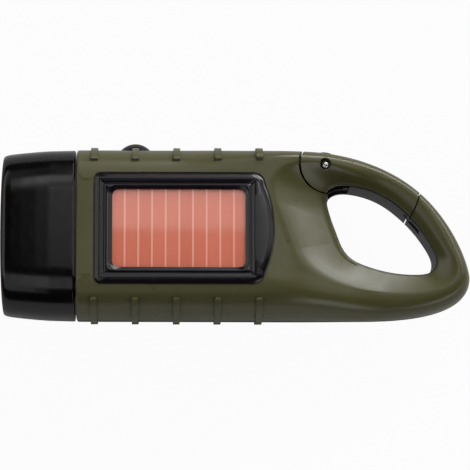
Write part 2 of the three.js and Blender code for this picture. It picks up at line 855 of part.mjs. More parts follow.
function crankGear() {
  const wheel = gear(crankTeeth, crankGearBottom, crankGearTop, crankAxis, 0);
  const stub = rod(stubRadius, crankGearTop - overrun, axleTop, crankAxis);
  const key = rod(keyRadius, crankGearBottom - keyDepth, crankGearBottom + overrun, crankAxis, hexSides);
  const pilot = rod(screwRadius + gap, floor, crankGearTop + overrun, crankAxis);
  return joined([wheel, stub, key]).subtract(pilot);
}

function idler(z0, pinionTop, wheelTeeth, z1, centre, phase) {
  const pinion = gear(idlerPinionTeeth, z0, pinionTop + gap, centre, phase);
  const wheel = gear(wheelTeeth, pinionTop, z1, centre, phase);
  return pinion.add(wheel).subtract(rod(axleRadius + gap, z0 - overrun, z1 + overrun, centre));
}

function idler1Gear() {
  return idler(crankGearBottom, idler1GearBottom, idler1Teeth, idler1GearTop, idler1Axis, idler1Phase);
}

function idler2Gear() {
  return idler(idler2PinionBottom, idler2GearBottom, idler2Teeth, idler2GearTop, idler2Axis, idler2Phase);
}

function rotorPinion() {
  const pinion = gear(rotorTeeth, rotorPinionBottom, rotorPinionTop, rotorAxis, rotorPhase);
  return pinion.add(rod(rotorShaftRadius, rotorSeat, statorTop - gap, rotorAxis, screwSides));
}

// Generator above the gear plate
const statorTop = plateTop + statorHeight;
const rotorSeat = rotorPinionBottom - runningGap - wall;

function statorCan() {
  const bore = rotorShaftRadius + gap;
  return turned([
    [bore, statorTop],
    [bore, statorTop - statorWall],
    [statorRadius - statorWall, statorTop - statorWall],
    [statorRadius - statorWall, plateTop],
    [statorRadius, plateTop],
    [statorRadius, statorTop],
    [bore, statorTop],
  ], rotorAxis);
}

function statorCoil() {
  const outer = statorRadius - statorWall - gap;
  const inner = outer - coilWall;
  const z0 = plateTop + gap;
  const z1 = statorTop - statorWall - gap;
  return turned([[inner, z0], [outer, z0], [outer, z1], [inner, z1], [inner, z0]], rotorAxis);
}

function rotorMagnet() {
  const z0 = plateTop + runningGap;
  const z1 = statorTop - statorWall - runningGap;
  return rod(magnetRadius, z0, z1, rotorAxis, roundSides).subtract(
    rod(rotorShaftRadius + gap, z0 - overrun, z1 + overrun, rotorAxis, screwSides),
  );
}

// Gear plate on its posts
const shellSpots = shellSpotShares.map(place);
const postSpots = postSpotShares.map(place);
const boardSpots = boardSpotShares.map(place);

function hullOf(points) {
  const sorted = [...points].sort((p, q) => p.x - q.x || p.y - q.y);
  const half = (row) => {
    const chain = [];
    for (const point of row) {
      while (chain.length > 1 && turn(chain.at(-2), chain.at(-1), point) <= 0) {
        chain.pop();
      }
      chain.push(point);
    }
    return chain.slice(0, -1);
  };
  return [...half(sorted), ...half(sorted.reverse())];
}

function turn(a, b, c) {
  return b.clone().sub(a).cross(c.clone().sub(a));
}

function gearPlate() {
  const lobes = [...postSpots, crankAxis].flatMap((spot) => roundPlan(spot, plateMargin, lobeSides));
  const rim = roundPlan(rotorAxis, statorRadius + gap, roundSides);
  const sheet = prism(hullOf([...lobes, ...rim]), plateBottom, plateTop);
  const sides = plate(-bodyHalfWidth, crankToTip, innerSide - 2 * runningGap, plateBottom, plateTop);
  const standoffs = boardSpots.map((spot) => {
    return rod(postRadius, plateTop - plateThickness / 2, plateTop + boardRise, spot);
  });
  const holeAt = (radius) => (spot) => rod(radius + gap, plateBottom - overrun, plateTop + overrun, spot);
  return cut(joined([sheet.intersect(sides), ...standoffs]), [
    ...[crankAxis].map(holeAt(stubRadius)),
    ...[rotorAxis].map(holeAt(rotorShaftRadius)),
    ...[idler1Axis, idler2Axis].map(holeAt(axleRadius)),
    ...[...postSpots, ...boardSpots].map(holeAt(screwRadius)),
    ...shellSpots.map(holeAt(bossRadius)),
  ]);
}

// Idler axles stand in the rear deck and end inside the gear plate
function axle(centre) {
  return rod(axleRadius, axleBottom, axleTop, centre);
}

// Crank: arm, bushing, cap and folding knob
const knobAxisHeight = floor + armThickness / 2;
const slotStart = knobReach - knobLength - fingerGap;
const slotEnd = knobReach + knobThickness / 2 + gap;
const capTop = floor + capThickness + gap;
const keyBottom = crankGearBottom - keyDepth;

function crankArm() {
  const tip = new THREE.Vector2(armTip - armHalfWidth, 0);
  const outlinePoints = [
    ...roundPlan(crankAxis, hubRadius, roundSides),
    ...roundPlan(tip, armHalfWidth, roundSides),
  ];
  const arm = prism(hullOf(outlinePoints), floor, floor + armThickness);
  const boss = rod(armBossRadius, floor, crankGearBottom - gap, crankAxis, roundSides);
  const slotWidth = knobHalfWidth + gap;
  return cut(arm.add(boss), [
    block(slotStart, slotEnd, -slotWidth, slotWidth, floor - overrun, floor + armThickness + overrun),
    knobPinRod(knobPinRadius + gap, -armHalfWidth - overrun, armHalfWidth - wall / 2),
    rod(capRadius + gap, floor - overrun, capTop, crankAxis, roundSides),
    rod(screwHeadRadius + gap, floor, capTop + screwHeadHeight, crankAxis),
    rod(screwRadius + gap, floor, crankGearBottom, crankAxis),
    rod(keyRadius + gap, keyBottom - gap, crankGearBottom, crankAxis, hexSides),
  ]);
}

function crankBushing() {
  const inner = armBossRadius + gap;
  const outer = inner + bushingWall;
  const z0 = -rearDepth;
  return turned([[inner, z0], [outer, z0], [outer, deckInside], [inner, deckInside], [inner, z0]], crankAxis);
}

function crankKnob() {
  const pivot = new THREE.Vector2(knobReach, knobAxisHeight);
  const far = new THREE.Vector2(knobReach - knobLength + knobEndRadius, knobAxisHeight);
  const half = knobThickness / 2;
  const profile = hullOf([
    ...roundPlan(pivot, half, roundSides),
    ...roundPlan(new THREE.Vector2(far.x, far.y + half - knobEndRadius), knobEndRadius, smallSides),
    ...roundPlan(new THREE.Vector2(far.x, far.y - half + knobEndRadius), knobEndRadius, smallSides),
  ]);
  const grip = prismAlongY(profile, -knobHalfWidth, knobHalfWidth);
  const outside = knobHalfWidth + overrun;
  return grip.subtract(knobPinRod(knobPinRadius + gap, -outside, outside));
}

function knobPin() {
  return knobPinRod(knobPinRadius, -armHalfWidth + gap, armHalfWidth - wall / 2 - gap);
}

function knobPinRod(radius, y0, y1) {
  return rodAlongY(radius, y0, y1, knobReach, knobAxisHeight);
}

// Head: a tapering cap whose spigot goes into the shells
function section(x, halfWidth, front, rear, reach) {
  const corner = sectionShares.map((share) => [halfWidth - share * reach, roundOff(share)]);
  const back = [...corner].reverse();
  const points = [
    ...corner.map(([y, rise]) => [y, rise * front]),
    ...back.map(([y, rise]) => [-y, rise * front]),
    ...corner.slice(1).map(([y, rise]) => [-y, -rise * rear]),
    ...back.slice(0, -1).map(([y, rise]) => [y, -rise * rear]),
  ];
  return points.map(([y, z]) => new THREE.Vector3(x, y, z));
}

function insetSection(x, inset) {
  return section(x, bodyHalfWidth - inset, frontDepth - inset, rearDepth - inset, edgeReach - inset / 2);
}

function insetTube(x0, x1, outerInset, innerInset) {
  const outer = loft([insetSection(x0, outerInset), insetSection(x1, outerInset)]);
  const inner = loft([insetSection(x0 - overrun, innerInset), insetSection(x1 + overrun, innerInset)]);
  return outer.subtract(inner);
}

const headFront = -crankToJoint - headLength;
const headBack = -crankToJoint - jointGap;
const spigotEnd = headBack + spigotLength;
const spigotInset = wall + gap;
const boreInset = spigotInset + spigotWall;
const grooveStart = headBack + grooveOffset;
const grooveEnd = grooveStart + gripRib + 2 * gap;
const lensFront = headFront + lipThickness + gap;
const lensBack = lensFront + lensThickness;
const reflectorFront = lensBack + gap;
const reflectorBack = reflectorFront + reflectorDepth;
const lampRimFront = reflectorBack + gap;
const lampBack = lampRimFront + lampRimHeight;
const lampBoardFront = lampBack + gap;
const lampBoardBack = lampBoardFront + boardThickness;
const innerInset = boreInset + gap;
const lampPlaces = Array.from({ length: lampCount }, (_, i) => (i - (lampCount - 1) / 2) * cupPitch);
const lampScrewPlace = lampPlaces.at(-1) + lampScrewOffset;

function headForm() {
  const form = loft(headShares.map(([along, wide, deep]) => {
    const x = headBack - along * (headBack - headFront);
    return section(x, wide * bodyHalfWidth, deep * frontDepth, deep * rearDepth, edgeReach);
  }));
  return form.intersect(bowedSpace());
}

// Everything behind the gently bowed front of the head
function bowedSpace() {
  const half = bodyHalfWidth + overrun;
  const span = Math.asin(half / frontBowRadius);
  const middle = new THREE.Vector2(headFront + frontBowRadius, 0);
  const front = arc(middle, frontBowRadius, Math.PI - span, Math.PI + span, bowSteps);
  const back = [new THREE.Vector2(0, -half), new THREE.Vector2(0, half)];
  return prism([...front, ...back], -rearDepth - overrun, frontDepth + overrun);
}

function headBezel() {
  const spigot = loft([
    insetSection(headBack - overrun, spigotInset),
    insetSection(spigotEnd, spigotInset),
  ]);
  const bore = loft([
    insetSection(headFront + lipThickness, boreInset),
    insetSection(spigotEnd + overrun, boreInset),
  ]);
  const mouth = loft([
    insetSection(headFront - overrun, lipInset),
    insetSection(headFront + headWall, lipInset),
  ]);
  const groove = insetTube(grooveStart, grooveEnd, 0, spigotInset + grooveDepth);
  const gearNotch = gearRoom(crankTeeth, -rearDepth, crankAxis).intersect(
    block(-hubRadius * 2, 0, -bodyHalfWidth, bodyHalfWidth, -rearDepth, crankGearTop + runningGap),
  );
  return cut(headForm().add(spigot), [bore, mouth, groove, gearNotch]);
}

function frontLens() {
  return loft([insetSection(lensFront, innerInset), insetSection(lensBack, innerInset)]);
}

function reflector() {
  const body = loft([
    insetSection(reflectorFront, innerInset),
    insetSection(reflectorBack, innerInset),
  ]);
  const throat = lampRadius + runningGap;
  const bowl = bowlShares.map((share) => {
    const radius = Math.sqrt(throat ** 2 + (cupMouth ** 2 - throat ** 2) * share);
    return [radius, reflectorBack - share * reflectorDepth];
  });
  const profile = [[0, reflectorBack + overrun], [throat, reflectorBack + overrun], ...bowl];
  profile.push([cupMouth, reflectorFront - overrun], [0, reflectorFront - overrun]);
  const cups = lampPlaces.map((y) => turnedAlongX(profile, y, 0, cupSides));
  const pilotFront = reflectorBack - lampScrewDepth - gap;
  const pilots = [-1, 1].map((side) => {
    return rodAlongX(screwRadius + gap, pilotFront, reflectorBack + overrun, side * lampScrewPlace, 0);
  });
  return cut(body, [...cups, ...pilots]);
}

function lamp(y) {
  const domeCentre = lampBack - lampLength + lampRadius;
  const dome = domeShares.map((share) => {
    const angle = (share * Math.PI) / 2;
    return [lampRadius * Math.sin(angle), domeCentre - lampRadius * Math.cos(angle)];
  });
  const rim = lampRadius + lampRim;
  const foot = [[lampRadius, lampRimFront], [rim, lampRimFront], [rim, lampBack], [0, lampBack]];
  return turnedAlongX([...dome, ...foot], y, 0, smallSides);
}

function lampBoard() {
  const sheet = loft([
    insetSection(lampBoardFront, lampBoardInset),
    insetSection(lampBoardBack, lampBoardInset),
  ]);
  const [front, back] = [lampBoardFront - overrun, lampBoardBack + overrun];
  return cut(sheet, [-1, 1].map((side) => {
    return rodAlongX(screwRadius + gap, front, back, side * lampScrewPlace, 0);
  }));
}

function lampScrew(side) {
  const y = side * lampScrewPlace;
  const head = rodAlongX(screwHeadRadius, lampBoardBack, lampBoardBack + screwHeadHeight, y, 0, screwSides);
  const tip = reflectorBack - lampScrewDepth;
  const shank = rodAlongX(screwRadius, tip, lampBoardBack + overrun, y, 0, shankSides);
  const x0 = lampBoardBack + screwHeadHeight - screwSlot;
  const half = screwHeadRadius + overrun;
  return head.add(shank).subtract(block(x0, x0 + half, y - half, y + half, -screwSlot / 2, screwSlot / 2));
}

// Grip ribs: the shell's rounded side grown outwards, for one half of the housing
function rib(x, side, half) {
  const depth = half > 0 ? frontDepth : rearDepth;
  const { edge, band } = rayAt(new THREE.Vector2(x, side * bodyHalfWidth).sub(loopCentre).angle());
  const halfWidth = Math.abs(edge.y);
  const reach = Math.min(edgeReach, bandShare * band);
  const curve = (offset) => ribShares.map((share) => {
    const inset = share * (halfWidth - ribEnd);
    const rise = roundOff(inset / reach) * (depth + offset);
    return new THREE.Vector2(side * (halfWidth + offset - inset), half * rise);
  });
  const outer = curve(ribHeight);
  const inner = curve(-wall / 2).reverse();
  return prismAlongX([...outer, ...inner], x - ribWidth / 2, x + ribWidth / 2);
}

function ribs(half) {
  const places = Array.from({ length: ribCount }, (_, i) => firstRib + i * ribPitch);
  const all = places.flatMap((x) => [-1, 1].map((side) => rib(x, side, half)));
  const far = bodyHalfWidth + 2 * overrun;
  const buttonRoom = rodAlongY(buttonRadius + flangeMargin, 0, far, buttonPlace, buttonHeight);
  return all.map((solid) => solid.subtract(buttonRoom));
}

// Push button, its switch and the hole between them
const innerSide = bodyHalfWidth - wall;
const flangeTop = innerSide - gap;
const stemEnd = flangeTop - buttonFlange - gap;
const plungerTop = stemEnd - gap;
const switchFront = plungerTop - plungerProud;

function powerButton() {
  const domeRadius = (buttonRadius ** 2 + buttonProud ** 2) / (2 * buttonProud);
  const span = Math.asin(buttonRadius / domeRadius);
  const domeCentre = bodyHalfWidth + buttonProud - domeRadius;
  const centre = new THREE.Vector2(0, domeCentre);
  const dome = arc(centre, domeRadius, Math.PI / 2, Math.PI / 2 - span, domeSteps);
  const rim = buttonRadius + flangeMargin;
  const foot = [[buttonRadius, flangeTop], [rim, flangeTop], [rim, flangeTop - buttonFlange]];
  foot.push([stemRadius, flangeTop - buttonFlange], [stemRadius, stemEnd], [0, stemEnd]);
  const points = [...dome.map((p) => new THREE.Vector2(Math.abs(p.x), p.y))];
  points[0].x = 0;
  points.push(...foot.map(([radius, y]) => new THREE.Vector2(radius, y)));
  const geometry = new THREE.LatheGeometry(points.reverse(), roundSides);
  geometry.translate(buttonPlace, 0, buttonHeight);
  return solidOf(geometry);
}

function switchBody() {
  const x0 = buttonPlace - switchWidth / 2;
  const back = switchFront - switchDepth;
  const body = block(x0, x0 + switchWidth, back, switchFront, boardTop, boardTop + switchHeight);
  const pressed = plungerTop - plungerLength - buttonTravel - gap;
  return body.subtract(
    rodAlongY(plungerRadius + gap, pressed, switchFront + overrun, buttonPlace, buttonHeight),
  );
}

function switchPlunger() {
  return rodAlongY(plungerRadius, plungerTop - plungerLength, plungerTop, buttonPlace, buttonHeight);
}

// Electronics above the gear plate
const boardBottom = plateTop + boardRise;
const boardTop = boardBottom + boardThickness;
const panelTop = frontDepth - gap;
const panelBottom = panelTop - panelThickness;
const ledgeBottom = panelBottom - gap - ledgeDrop;
const cellRadius = (ledgeBottom - cellHeadroom - boardTop - gap) / 2;
const cellHeight = boardTop + gap + cellRadius;
const cellSide = shellSpots[1].y + bossRadius + cellMargin + cellRadius;
const buttonHeight = boardTop + switchHeight / 2;

function mainBoard() {
  const sheet = block(boardStart, boardEnd, -boardHalfWidth, boardHalfWidth, boardBottom, boardTop);
  const tabHalf = switchWidth / 2 + gap;
  const tab = block(buttonPlace - tabHalf, buttonPlace + tabHalf, 0, switchFront, boardBottom, boardTop);
  const holeAt = (radius) => (spot) => rod(radius + gap, boardBottom - overrun, boardTop + overrun, spot);
  return cut(sheet.add(tab), [...boardSpots.map(holeAt(screwRadius)), ...shellSpots.map(holeAt(bossRadius))]);
}

function battery() {
  return rodAlongX(cellRadius, cellStart, cellStart + cellLength, cellSide, cellHeight, roundSides);
}

// An insulated lead that leaves its start along one direction and comes down on its end from above
function lead(start, direction, end, rise) {
  const away = start.clone().addScaledVector(direction, rise / 2);
  const above = end.clone().add(new THREE.Vector3(0, 0, rise));
  return tube([start, away, above, end], wireRadius, leadSteps);
}

const landing = boardTop + gap;
const inFront = new THREE.Vector3(1, 0, 0);
const below = new THREE.Vector3(0, 0, -1);
const cellEnd = cellStart + cellLength + gap;

function landingAt([alongShare, acrossShare]) {
  const spot = place([alongShare, acrossShare]);
  return new THREE.Vector3(spot.x, spot.y, landing);
}

function pairOfLeads(start, direction, landingShares, rise) {
  const apart = new THREE.Vector3(0, leadPitch, 0);
  const end = landingAt(landingShares);
  return [start, start.clone().add(apart)].map((from, i) => {
    return lead(from, direction, end.clone().addScaledVector(apart, i), rise);
  });
}

// Solar panel behind its frame
function plate(x0, x1, halfWidth, z0, z1) {
  return block(x0, x1, -halfWidth, halfWidth, z0, z1);
}

function solarPanel() {
  const [start, end] = [windowStart - panelLap, windowEnd + panelLap];
  return plate(start, end, windowHalfWidth + panelLap, panelBottom, panelTop);
}

function framePlan(inset) {
  const noseCentre = new THREE.Vector2(frameNose - frameNoseRadius, 0);
  const span = Math.asin((frameHalfWidth - frameCorner) / frameNoseRadius);
  const cornerStart = frameNose - frameCorner - frameCornerBack;
  const cornerPlace = new THREE.Vector2(cornerStart, frameHalfWidth - frameCorner);
  const tail = new THREE.Vector2(frameStart + frameTailCorner, frameHalfWidth - frameTailCorner);
  const flip = (p) => new THREE.Vector2(p.x, -p.y);
  const quarter = Math.PI / 2;
  const upper = [
    ...arc(noseCentre, frameNoseRadius - inset, 0, span, noseArcSteps).slice(1),
    ...arc(cornerPlace, frameCorner - inset, quarter / 3, quarter, frameCornerSteps),
    ...arc(tail, frameTailCorner - inset, quarter, 2 * quarter, cornerSteps),
  ];
  return [...upper, ...[...upper].reverse().map(flip)];
}

function raised(points, z) {
  return points.map((p) => new THREE.Vector3(p.x, p.y, z));
}

function windowPlan(margin) {
  return roundedRectangle(
    windowStart - margin,
    windowEnd + margin,
    -windowHalfWidth - margin,
    windowHalfWidth + margin,
    windowCorner + margin,
  );
}

function solarFrame() {
  const top = frontDepth + frameHeight;
  const form = loft([
    raised(framePlan(0), frontDepth),
    raised(framePlan(0), frontDepth + frameEdge),
    raised(framePlan(frameSlope), top),
  ]);
  const opening = loft([
    raised(windowPlan(0), frontDepth - overrun),
    raised(windowPlan(0), top - frameBevel + frameEdge),
    raised(windowPlan(frameBevel), top),
    raised(windowPlan(frameBevel), top + overrun),
  ]);
  const island = windowPlan(flatBand - frameGroove);
  const groove = prism(windowPlan(flatBand), top - frameGroove, top + overrun, [island]);
  return cut(form, [opening, groove]);
}

// Shells
const bar = barrelRadius + gateGap + wall;

function upright(radius, top, spot) {
  return rod(radius, -rearDepth - overrun, top, spot);
}

function gearRoom(teeth, z0, centre) {
  const tipRadius = (toothModule * teeth) / 2 + addendum * toothModule;
  return rod(tipRadius + runningGap, z0, 0, centre, roundSides * 2);
}

// Rooms that the hollow must also have: for the gears, the button's flange and the head's spigot
function rooms() {
  return [
    gearRoom(crankTeeth, deckInside, crankAxis),
    gearRoom(idler1Teeth, idler1GearBottom - runningGap, idler1Axis),
    gearRoom(idler2Teeth, idler2GearBottom - runningGap, idler2Axis),
    flangeRoom(),
    loft([insetSection(headBack, wall), insetSection(spigotEnd + gap, wall)]),
  ];
}

// What stands in the hollow of one half: walls round the gate, screw bosses and the grip for the head
function bodyHollow(side, features) {
  const half = joined([side > 0 ? frontHollow : rearHollow, ...rooms()]);
  const standing = shellSpots.map((spot) => upright(bossRadius, frontDepth + overrun, spot));
  const gripRing = insetTube(grooveStart + gap, grooveEnd - gap, 0, spigotInset + gripLap);
  const grip = gripRing.subtract(gearRoom(crankTeeth, deckInside, crankAxis));
  return cut(half, [gatePrism(bar, gateReach + gateGap + wall), grip, ...standing, ...features]);
}

function shellScrewHead(spot) {
  return screwSink - depthAt(spot.x, rearDepth, loopRearDepth);
}

function shellScrewTip(spot) {
  return screwRiseShare * depthAt(spot.x, frontDepth, loopFrontDepth);
}

function nosePocket() {
  return prism(nosePocketPlan(), -noseHeight / 2 - gap, noseHeight / 2 + gap);
}

function flangeRoom() {
  const radius = buttonRadius + flangeMargin + gap;
  const pressedFoot = flangeTop - buttonFlange - buttonTravel - gap;
  return rodAlongY(radius, pressedFoot, innerSide, buttonPlace, buttonHeight, roundSides);
}

function buttonHole() {
  const [inside, outside] = [innerSide - overrun, bodyHalfWidth + overrun];
  const hole = rodAlongY(buttonRadius + gap, inside, outside, buttonPlace, buttonHeight, roundSides);
  return hole.add(flangeRoom());
}

function frontShell() {
  const ledgeRing = plate(
    windowStart - panelLap - ledge,
    windowEnd + panelLap + ledge,
    windowHalfWidth + panelLap + ledge,
    ledgeBottom,
    frontDepth,
  );
  const shell = cut(frontForm, [bodyHollow(1, [ledgeRing])]);
  const pilots = shellSpots.map((spot) => {
    return rod(screwRadius + gap, -overrun, shellScrewTip(spot) + gap, spot, screwSides);
  });
  return cut(joined([shell, ...ribs(1)]), [
    gateRoom(),
    linerSeat,
    buttonHole(),
    nosePocket(),
    ...panelSeat(),
    tongueRoom(),
    ...pilots,
  ]);
}

// Opening behind the solar panel, and the wider seat that the panel lies in
function panelSeat() {
  const lap = panelLap - ledge;
  const seat = panelLap + gap;
  const top = frontDepth + overrun;
  return [
    plate(windowStart + lap, windowEnd - lap, windowHalfWidth - gap, 0, top),
    plate(windowStart - seat, windowEnd + seat, windowHalfWidth + seat, panelBottom - gap, top),
  ];
}

function tongueRoom() {
  const side = tongueHalfWidth + gap;
  return block(pin.x - bar - 2 * gap, pin.x, pin.y - side, pin.y + side, -overrun, forkTop);
}

function rearShell() {
  const features = [
    ...postSpots.map((spot) => upright(postRadius, plateBottom, spot)),
    upright(axleBossRadius, idler2PinionBottom - gap, idler2Axis),
    upright(axleBossRadius, rotorPinionBottom - gap, rotorAxis),
  ];
  const shell = cut(rearForm, [bodyHollow(-1, features)]);
  const pilots = postSpots.map((spot) => {
    const bottom = plateBottom - postScrewDepth - gap;
    return rod(screwRadius + gap, bottom, plateBottom + overrun, spot, screwSides);
  });
  const axleHoles = [idler1Axis, idler2Axis].map((spot) => {
    return rod(axleRadius + gap, axleBottom - gap, axleTop, spot, screwSides);
  });
  const bushing = armBossRadius + 2 * gap + bushingWall;
  return cut(cut(joined([shell, liner, ...ribs(-1)]), [gateRoom()]).add(tongue()), [
    buttonHole(),
    nosePocket(),
    rod(bushing, -rearDepth - overrun, deckInside + overrun, crankAxis, roundSides),
    ...shellSpots.map((spot) => screwHole(spot, shellScrewHead(spot), overrun)),
    ...pilots,
    ...axleHoles,
    rod(rotorShaftRadius + gap, rotorSeat - gap, rotorPinionBottom, rotorAxis, screwSides),
  ]);
}

// Colours and finishes
function finish(color, roughness, metalness = 0) {
  return new THREE.MeshStandardMaterial({ color, roughness, metalness });
}

const olive = finish(0x56563c, 0.55);
const darkGrey = finish(0x3f413d, 0.6);
const black = finish(0x161616, 0.45);
const frameGrey = finish(0x39343a, 0.4);
const cellRed = finish(0xcc816f, 0.25);
const steel = finish(0xb9b9b6, 0.3, 1);
const brass = finish(0xb08d4a, 0.35, 1);
const nylon = finish(0xe2ded2, 0.5);
const clear = finish(0xdfe6ea, 0.08);
const chrome = finish(0xd8d8d8, 0.1, 1);
const green = finish(0x2f5a36, 0.5);
const copper = finish(0xa8602f, 0.35, 1);
const magnetGrey = finish(0x4a4a4e, 0.4, 1);
const wrapBlue = finish(0x2f4a86, 0.5);
const red = finish(0xa32620, 0.5);

const assembly = new THREE.Group();
assembly.position.z = -floor;

function piece(name, material, solid) {
  const mesh = new THREE.Mesh(geometryOf(solid), material);
  mesh.name = name;
  assembly.add(mesh);
}

function numbered(name, material, solids) {
  solids.forEach((solid, i) => piece(`${name}_${i + 1}`, material, solid));
}

piece("head_bezel", black, headBezel());
piece("front_lens", clear, frontLens());
piece("reflector", chrome, reflector());
numbered("led", clear, lampPlaces.map(lamp));
piece("led_board", green, lampBoard());
numbered("led_board_screw", steel, [-1, 1].map(lampScrew));

piece("front_shell", olive, frontShell());
piece("rear_shell", darkGrey, rearShell());
numbered("shell_screw", steel, shellSpots.map((spot) => {
  return screw(spot, shellScrewHead(spot), shellScrewTip(spot));
}));
piece("solar_frame", frameGrey, solarFrame());
piece("solar_panel", cellRed, solarPanel());

piece("power_button", black, powerButton());
piece("switch_body", black, switchBody());
piece("switch_plunger", red, switchPlunger());
piece("main_board", green, mainBoard());
numbered("board_screw", steel, boardSpots.map((spot) => screwTop(spot, boardTop, plateBottom + gap)));
piece("battery", wrapBlue, battery());

piece("crank_arm", black, crankArm());
piece("crank_cap", darkGrey, rod(capRadius, floor, floor + capThickness, crankAxis, roundSides));
piece("crank_screw", steel, screw(crankAxis, capTop, crankGearTop));
piece("crank_bushing", brass, crankBushing());
piece("crank_knob", darkGrey, crankKnob());
piece("knob_pin", steel, knobPin());
piece("crank_gear", nylon, crankGear());
piece("idler_1_gear", nylon, idler1Gear());
piece("idler_2_gear", nylon, idler2Gear());
numbered("idler_axle", steel, [idler1Axis, idler2Axis].map(axle));
piece("rotor_pinion", brass, rotorPinion());
piece("rotor_magnet", magnetGrey, rotorMagnet());
piece("stator_can", steel, statorCan());
piece("stator_coil", copper, statorCoil());
piece("gear_plate", steel, gearPlate());
numbered("plate_screw", steel, postSpots.map((spot) => {
  return screwTop(spot, plateTop, plateBottom - postScrewDepth);
}));

piece("gate_front", olive, gateFront());
piece("gate_rear", darkGrey, gateRear());
piece("gate_pin", steel, gatePin());
piece("gate_spring", steel, gateSpring());
piece("gate_screw", steel, screw(gateMiddle, gateScrewHead, gateScrewRise));

const cellStartPoint = new THREE.Vector3(cellEnd, cellSide - leadPitch / 2, cellHeight);
const solarStartPoint = new THREE.Vector3(solarLeadPlace, leadPitch, panelBottom - gap);
const lampStartPoint = new THREE.Vector3(lampBoardBack + gap, leadPitch, leadPitch / 2);
const coilSide = rotorAxis.x - statorRadius - gap;
const coilStartPoint = new THREE.Vector3(coilSide, rotorAxis.y - leadPitch / 2, landing + leadRise / 2);
const cellLeads = pairOfLeads(cellStartPoint, inFront, cellLandingShares, leadRise);
const solarLeads = pairOfLeads(solarStartPoint, below, solarLandingShares, leadRise);
const lampLeads = pairOfLeads(lampStartPoint, inFront, lampLandingShares, leadRise / 2);
const coilLeads = pairOfLeads(coilStartPoint, inFront.clone().negate(), coilLandingShares, leadRise / 2);
["battery", "solar", "lamp", "coil"].forEach((name, i) => {
  const [darkLead, redLead] = [cellLeads, solarLeads, lampLeads, coilLeads][i];
  piece(`${name}_lead_black`, black, darkLead);
  piece(`${name}_lead_red`, red, redLead);
});

const flashlight = new THREE.Group();
flashlight.add(assembly);

export default flashlight;
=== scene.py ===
import json
import math

import bmesh
import bpy
import numpy as np
from mathutils import Matrix, Vector
from mathutils.geometry import convex_hull_2d

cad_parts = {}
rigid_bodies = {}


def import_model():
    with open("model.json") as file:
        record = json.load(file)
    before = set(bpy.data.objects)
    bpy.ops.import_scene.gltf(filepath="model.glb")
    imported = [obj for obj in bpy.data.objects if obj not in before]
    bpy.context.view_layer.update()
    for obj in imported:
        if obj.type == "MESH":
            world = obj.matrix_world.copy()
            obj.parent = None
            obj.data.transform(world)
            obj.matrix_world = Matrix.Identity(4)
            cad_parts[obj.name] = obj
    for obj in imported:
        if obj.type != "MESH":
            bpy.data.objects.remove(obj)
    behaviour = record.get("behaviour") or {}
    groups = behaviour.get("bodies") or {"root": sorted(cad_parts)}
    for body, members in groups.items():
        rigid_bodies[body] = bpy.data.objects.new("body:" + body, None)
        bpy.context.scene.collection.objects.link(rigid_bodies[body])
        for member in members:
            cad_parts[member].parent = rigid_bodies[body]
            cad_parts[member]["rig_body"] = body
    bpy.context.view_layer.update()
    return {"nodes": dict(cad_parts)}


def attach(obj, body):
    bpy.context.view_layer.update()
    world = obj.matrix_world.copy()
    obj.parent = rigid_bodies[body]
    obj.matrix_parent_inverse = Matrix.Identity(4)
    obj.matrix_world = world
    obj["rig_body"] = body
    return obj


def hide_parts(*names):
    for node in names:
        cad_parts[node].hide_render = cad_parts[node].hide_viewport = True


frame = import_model()

# Driving sizes of the housing
crank_to_tip = 0.089
half_width = 0.0236
front_depth = 0.015
rear_depth = 0.0147
loop_front_depth = 0.0078
loop_rear_depth = 0.008
joint_place = -0.0198
head_length = 0.0208
edge_reach = 0.0095
wall = 0.0018
gap = 0.0003
running_gap = 0.0005
overrun = 0.001
arm_thickness = 0.0052
arm_gap = 0.0006
part_line = rear_depth + arm_gap + arm_thickness
floor = -part_line

# Shape of the loop, as shares of the crank-to-tip length and of the half width
taper_start_shares = [0.18, 1]
upper_outline_shares = [[0.501, 0.975], [0.91, 0.944], [1, -0.365], [1, -0.504]]
lower_outline_shares = [[0.655, -1], [0.754, -1], [1, -0.982], [1, -0.504]]
crease_shares = [
    [0.382, 0.53], [0.41, 0.085], [0.465, -0.339], [0.545, -0.56], [0.68, -0.682],
    [0.831, -0.704], [0.933, -0.601], [0.96, -0.416], [0.931, -0.127], [0.846, 0.373],
    [0.746, 0.635], [0.637, 0.775], [0.5, 0.81], [0.413, 0.72],
]
hole_shares = [
    [0.552, 0.5], [0.583, 0.58], [0.646, 0.576], [0.725, 0.479], [0.798, 0.28], [0.861, -0.004],
    [0.899, -0.305], [0.885, -0.441], [0.811, -0.479], [0.7, -0.411], [0.618, -0.262], [0.578, 0.038],
]
loop_centre_shares = [0.713, 0.02]
pin_shares = [0.547, 0.788]
slope_shares = [0.36, 0.775]

# Depths round the loop's hole, and the lip of the rear half that lines it
hole_edge_depth = 0.005
rear_hole_depth = 0.0076
hole_fillet = 0.0004
liner_height = 0.004
liner_wall = 0.0014
liner_inset = 0.0003
hole_draft = 0.00095
barrel_foot = 0.0022
edge_power = 2.4
hollow_power = 1.15
crown_power = 2.2
crown_angle = math.radians(50)
crown_share = 0.6
band_share = 0.9
seam_chamfer = 0.0002
joint_fillet = 0.00055
joint_shares = [[0, 1], [0.3, 0.36], [1.4, -0.3], [4, -4]]

